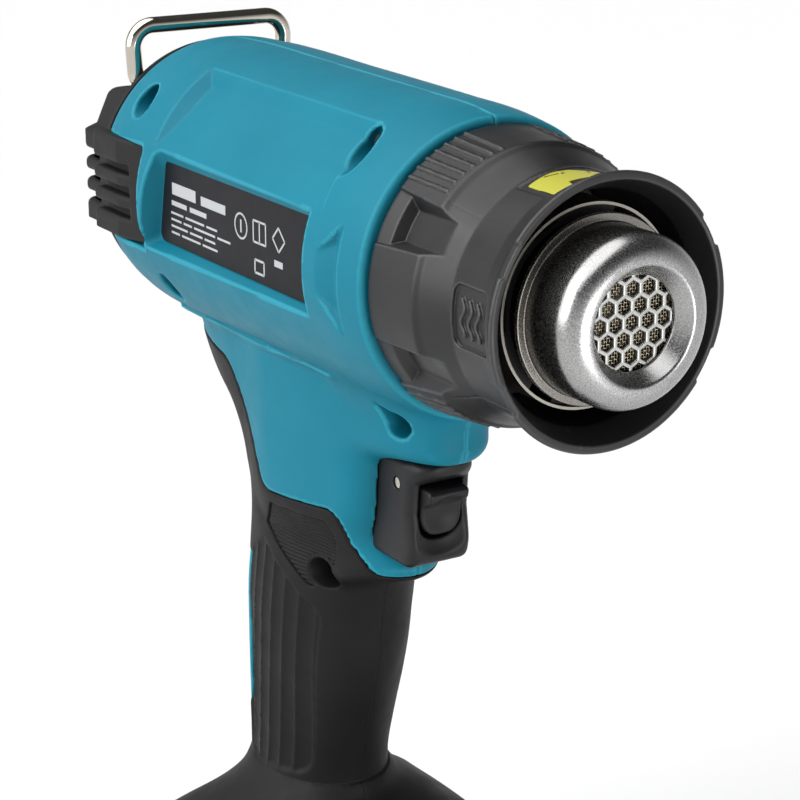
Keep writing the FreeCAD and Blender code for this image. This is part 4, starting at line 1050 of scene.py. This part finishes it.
def lever_shape(p):
    """Lock-off lever: a crisp lip along its top and a dished thumb face below."""
    d = round_max(p.side - 5.0, -62.6 - p.z, 4.8)
    d = round_max(d, lever_side(p.x, p.z), 0.6)
    dish = np.sqrt((p.x + 50.9) ** 2 + (p.y * 0.8) ** 2 + (p.z + 58.6) ** 2) - 7.0
    d = blend_max(d, -dish, 0.5)
    return np.maximum(d, -pin_hole(p, 1.25))


def build_trigger():
    piece = field_object("trigger_shell", trigger_shape, (-79.5, -8.5, -70.5), (-52, 8.5, -44), 0.3)
    place(piece, "trigger", "trigger_plastic", TRIGGER, "trigger")
    piece = field_object("lock_button", lever_shape, (-66.5, -5.5, -63), (-53.5, 5.5, -50), 0.25)
    place(piece, "lock_lever", "trigger_plastic", TRIGGER, "lock_lever")


# ---- battery

GROOVE_PITCH = 5.0


def tub_shape(p):
    """Lower half of the battery case: ribbed flanks and a chamfered foot."""
    plan = round_max(slab(p.x, -156.0, -42.0), p.side - 37.5, 9.0)
    chamfer = (-216.5 - p.z) * 0.7 + plan * 0.7
    d = round_max(plan, slab(p.z, -218.0, -184.0), 1.2)
    d = np.maximum(d, chamfer + 0.6)
    row = (p.z + 200.0) / GROOVE_PITCH
    groove = np.abs(row - np.clip(np.round(row), -1.0, 1.0)) * GROOVE_PITCH - 0.8
    groove = round_max(groove, slab(p.x, -140.0, -58.0), 0.6)
    d = blend_max(d, -np.maximum(groove, 36.6 - p.side), 0.5)
    front = np.maximum(round_max(slab(p.y, -22.0, 22.0), slab(p.z, -212.0, -190.0), 2.0), -43.0 - p.x)
    d = blend_max(d, -front, 0.4)
    seam = np.maximum(-184.8 - p.z, -(plan + 0.6))
    d = np.maximum(d, -seam)
    room = np.maximum(plan + 2.4, -215.6 - p.z)
    return np.maximum(d, -room)


def build_battery():
    piece = field_object("battery_case", tub_shape, (-156.5, -38.0, -218.5), (-41.5, 38.0, -183.5), 0.55)
    place(piece, "battery", "battery_plastic", COVER, "battery_tub")


def build_leads():
    """The two leads from the battery terminals, which keep inside the handle's rear wall."""
    route = [(-134.0, -158.0), (-132.5, -152.0), (-124.5, -143.5), (-118.5, -134.0), (-115.5, -118.0),
             (-108.5, -99.0), (-101.0, -82.0), (-100.8, -71.6)]
    data = bpy.data.curves.new("battery_wires", "CURVE")
    data.dimensions = "3D"
    data.bevel_depth = 1.3 * MM
    data.bevel_resolution = 4
    for y in (-3.6, -6.6):
        spline = data.splines.new("NURBS")
        spline.points.add(len(route) - 1)
        for point, (x, z) in zip(spline.points, route):
            point.co = (*(ORIGIN + Vector((x, y, z)) * MM), 1.0)
        spline.order_u = 3
        spline.use_endpoint_u = True
    piece = link_object("battery_wires", data)
    place(piece, "gun", "lead_insulation", LEADS, "battery_leads")


# ---- springs


def coil_spring(name, node, wire, turns, along, body):
    """Wound spring in the place of a CAD spring."""
    low, high = node_box(node)
    middle = np.array((low + high) / 2)
    length = high[along] - low[along]
    across = [axis for axis in range(3) if axis != along]
    radius = (high[across[0]] - low[across[0]]) / 2 - wire
    sides = 8
    steps = int(turns * 20)
    turn = np.arange(steps + 1) * (2 * math.pi / 20)
    thick = np.full(steps + 1, wire)
    thick[0] = thick[-1] = wire * 0.1
    ring = np.arange(sides) * (2 * math.pi / sides)
    reach = radius + thick[:, None] * np.cos(ring)
    points = np.empty((steps + 1, sides, 3))
    points[:, :, across[0]] = middle[across[0]] + reach * np.cos(turn)[:, None]
    points[:, :, across[1]] = middle[across[1]] + reach * np.sin(turn)[:, None]
    start = low[along] + wire
    rise = start + (length - 2 * wire) * np.arange(steps + 1) / steps
    points[:, :, along] = rise[:, None] + thick[:, None] * np.sin(ring)
    piece = solid_object(name, points.reshape(-1, 3), tube_quads(steps + 1, sides))
    place(piece, body, "spring_steel", PLAIN_STEEL, node)
    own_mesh(piece)


def build_springs():
    coil_spring("trigger_return", "trigger_spring", 0.4, 4.5, 0, "gun")
    coil_spring("button_return", "battery_button_spring", 0.3, 2.5, 2, "battery")


# ---- printed marks

PLATE_FACE = -29.08
DIAL_FACE = -177.47
STICKER_FACE = 24.93
MARK_HEIGHT = 0.06


def stroke_boxes(path, width, closed=False):
    """Corners of the flat bars that draw a path of the given width, one bar for each step."""
    bars = []
    steps = list(zip(path, path[1:] + path[:1])) if closed else list(zip(path, path[1:]))
    for (au, av), (bu, bv) in steps:
        along = np.array((bu - au, bv - av))
        along = along / np.hypot(*along)
        side = np.array((-along[1], along[0])) * width / 2
        a, b = np.array((au, av)), np.array((bu, bv))
        bars.append([a - side, b - side, b + side, a + side])
    return bars


def raised_marks(name, bars, spot, height):
    """Thin solid bars on a surface; spot turns (u, v, height) into a point."""
    points, quads = [], []
    for bar in bars:
        base = len(points)
        points += [spot(u, v, 0.0) for u, v in bar] + [spot(u, v, height) for u, v in bar]
        sides = [(0, 1, 2, 3), (7, 6, 5, 4), (4, 5, 1, 0), (5, 6, 2, 1), (6, 7, 3, 2), (7, 4, 0, 3)]
        quads += [[base + i for i in side] for side in sides]
    return solid_object(name, np.array(points), np.array(quads), smooth=False)


def plate_bars():
    """Generic marks where a rating plate has its print: bars, a ring, a diamond and two frames."""
    bars = []
    for start, end, z, width in ((-124.0, -112.5, 4.6, 2.7), (-110.0, -98.5, 4.3, 2.1),
                                 (-124.4, -117.0, 1.3, 1.1), (-115.5, -107.5, 1.3, 1.1)):
        bars += stroke_boxes([(start, z), (end, z)], width)
    rows = [(-1.0, (6, 9, 5)), (-2.5, (5, 4, 10, 6)), (-4.0, (8, 6, 5)), (-5.5, (4, 9, 7))]
    for z, words in rows:
        x = -124.8
        for length in words:
            bars += stroke_boxes([(x, z), (x + length, z)], 0.5)
            x += length + 1.1
    ring = [(-91.5 + 2.7 * math.cos(a), 2.4 + 2.7 * math.sin(a)) for a in np.arange(20) * math.pi / 10]
    bars += stroke_boxes(ring, 0.45, True) + stroke_boxes([(-91.5, 3.8), (-91.5, 1.0)], 0.6)
    bars += stroke_boxes([(-86.0, 0.2), (-80.6, 0.2), (-80.6, 4.8), (-86.0, 4.8)], 0.45, True)
    bars += stroke_boxes([(-83.3, 0.2), (-83.3, 4.8)], 0.45)
    bars += stroke_boxes([(-75.0, 5.2), (-72.4, 2.6), (-75.0, 0.0), (-77.6, 2.6)], 0.45, True)
    bars += stroke_boxes([(-77.0, -2.6), (-73.4, -2.6)], 1.4)
    bars += stroke_boxes([(-85.5, -3.6), (-81.5, -3.6), (-81.5, -6.4), (-85.5, -6.4)], 0.5, True)
    return bars


def build_marks():
    piece = raised_marks("plate_print", plate_bars(), lambda u, v, h: (u, PLATE_FACE - h, v), MARK_HEIGHT)
    place(piece, "gun", "plate_black", PRINT)
    ticks = []
    for k in range(9):
        angle = math.radians(-120.0 + 30.0 * k)
        ends = [(r * math.sin(angle), r * math.cos(angle)) for r in (7.2, 8.8)]
        ticks += stroke_boxes(ends, 0.5)
    piece = raised_marks("dial_marks", ticks, lambda u, v, h: (DIAL_FACE - h, u, v), MARK_HEIGHT)
    place(piece, "dial", "dial_plastic", PRINT)
    lines = []
    for stroke in ([(-13.4, 2.6), (-11.0, -2.2)], [(-12.7, 3.0), (-10.2, -1.9)],
                   [(-13.9, 6.2), (-13.1, 3.4)]):
        lines += stroke_boxes(stroke, 0.35)

    def on_guard(u, v, h):
        r = STICKER_FACE + h
        return (u, -r * math.sin(v / GUARD_RADIUS), r * math.cos(v / GUARD_RADIUS))

    place(raised_marks("sticker_lines", lines, on_guard, 0.1), "guard", "decal_yellow", PLATE)


# ---- remaining CAD nodes

LOOKS = [
    (CHROME, "hook lever_pin"),
    (PLATE, "name_plate"),
    (BLACK, "temperature_dial guard_mount fan"),
    (COVER, "battery_top"),
    (TRIGGER, "battery_button switch_plunger"),
    (DARK_STEEL, "battery_screws"),
    (PLAIN_STEEL, "motor_can motor_rotor lever_spring terminal_blades"),
    (SHIELD, "heat_shield mesh_retainer"),
    (BRONZE, "motor_bearings battery_contacts"),
    (COPPER, "heater_coil heater_terminals"),
    (ALUMINIUM, "heat_sink capacitor"),
    (FERRITE, "motor_magnets power_transistors"),
    (CERAMIC, "mica_tube heater_core thermal_fuse"),
    (BOARD, "controller_board battery_board"),
    (WRAP, "battery_cells"),
    (LEADS, "heater_leads motor_leads"),
    (FILTER, "intake_filter"),
    (INNER, "potentiometer motor_mount fan_shroud front_spacer rear_spacer switch_block terminal_block"),
    (LENS, "battery_gauge"),
]


def finish_nodes():
    for material, names in LOOKS:
        for name in names.split():
            mesh = nodes[name].data
            for i in range(len(mesh.materials)):
                mesh.materials[i] = material


# ---- camera, light and floor

def aim(obj, place, target):
    obj.location = place
    obj.rotation_euler = (Vector(target) - Vector(place)).to_track_quat("-Z", "Y").to_euler()


def build_camera():
    azimuth = math.radians(58.163)
    elevation = math.radians(17.535)
    back = Vector((math.sin(azimuth) * math.cos(elevation), -math.cos(azimuth) * math.cos(elevation),
                   math.sin(elevation)))
    right = Vector((math.cos(azimuth), math.sin(azimuth), 0.0))
    up = back.cross(right)
    camera = link_object("camera", bpy.data.cameras.new("camera"))
    camera.data.lens = 101.95
    camera.data.sensor_width = 36.0
    camera.data.clip_start = 0.01
    camera.data.clip_end = 20.0
    place = ORIGIN + Vector((324.4, -247.7, 111.8)) * MM
    camera.matrix_world = Matrix.Translation(place) @ Matrix((right, up, back)).transposed().to_4x4()
    bpy.context.scene.camera = camera


def sun(name, place, strength, width):
    data = bpy.data.lights.new(name, "SUN")
    data.energy = strength
    data.angle = math.radians(width)
    aim(link_object(name, data), place, (0.0, 0.0, 0.0))


def area_light(name, place, target, size, power):
    data = bpy.data.lights.new(name, "AREA")
    data.shape = "RECTANGLE"
    data.size, data.size_y = size
    data.energy = power
    aim(link_object(name, data), place, target)


def build_stage():
    reach = 6.0
    corners = [(-reach, -reach, 0), (reach, -reach, 0), (reach, reach, 0), (-reach, reach, 0)]
    mesh = bpy.data.meshes.new("floor")
    mesh.from_pydata(corners, [], [(0, 1, 2, 3)])
    floor = link_object("floor", mesh)
    floor.location.z = -0.0005
    m = Nodes("floor")
    m.shader.inputs["Base Color"].default_value = (0.67, 0.67, 0.67, 1)
    m.shader.inputs["Roughness"].default_value = 0.9
    m.shader.inputs["Specular IOR Level"].default_value = 0.1
    mesh.materials.append(m.material)

    world = bpy.data.worlds.new("studio")
    world.use_nodes = True
    tree = world.node_tree
    backdrop = tree.nodes["Background"]
    backdrop.inputs["Color"].default_value = (1, 1, 1, 1)
    direction = tree.nodes.new("ShaderNodeTexCoord").outputs["Generated"]
    split = tree.nodes.new("ShaderNodeSeparateXYZ")
    tree.links.new(direction, split.inputs["Vector"])
    fade = tree.nodes.new("ShaderNodeMapRange")
    for name, number in zip(("From Min", "From Max", "To Min", "To Max"), (0.0, 0.5, 0.8, 0.06)):
        fade.inputs[name].default_value = number
    tree.links.new(split.outputs["Z"], fade.inputs["Value"])
    tree.links.new(fade.outputs["Result"], backdrop.inputs["Strength"])
    bpy.context.scene.world = world
    sun("overhead", (-0.2, -0.35, 1.0), 3.7, 80.0)
    sun("side", (-0.25, -1.0, 0.45), 2.2, 60.0)
    area_light("front_panel", (0.55, 0.05, 0.12), (0.085, 0.0, 0.21), (0.25, 0.25), 1.2)
    area_light("left_panel", (0.12, -0.6, 0.42), (0.05, 0.0, 0.2), (0.25, 0.35), 1.0)
    bpy.context.scene.view_settings.view_transform = "Standard"


build_housing()
build_guard()
build_nozzle()
build_cover()
build_trigger()
build_battery()
build_leads()
build_springs()
build_marks()
finish_nodes()
build_stage()
build_camera()
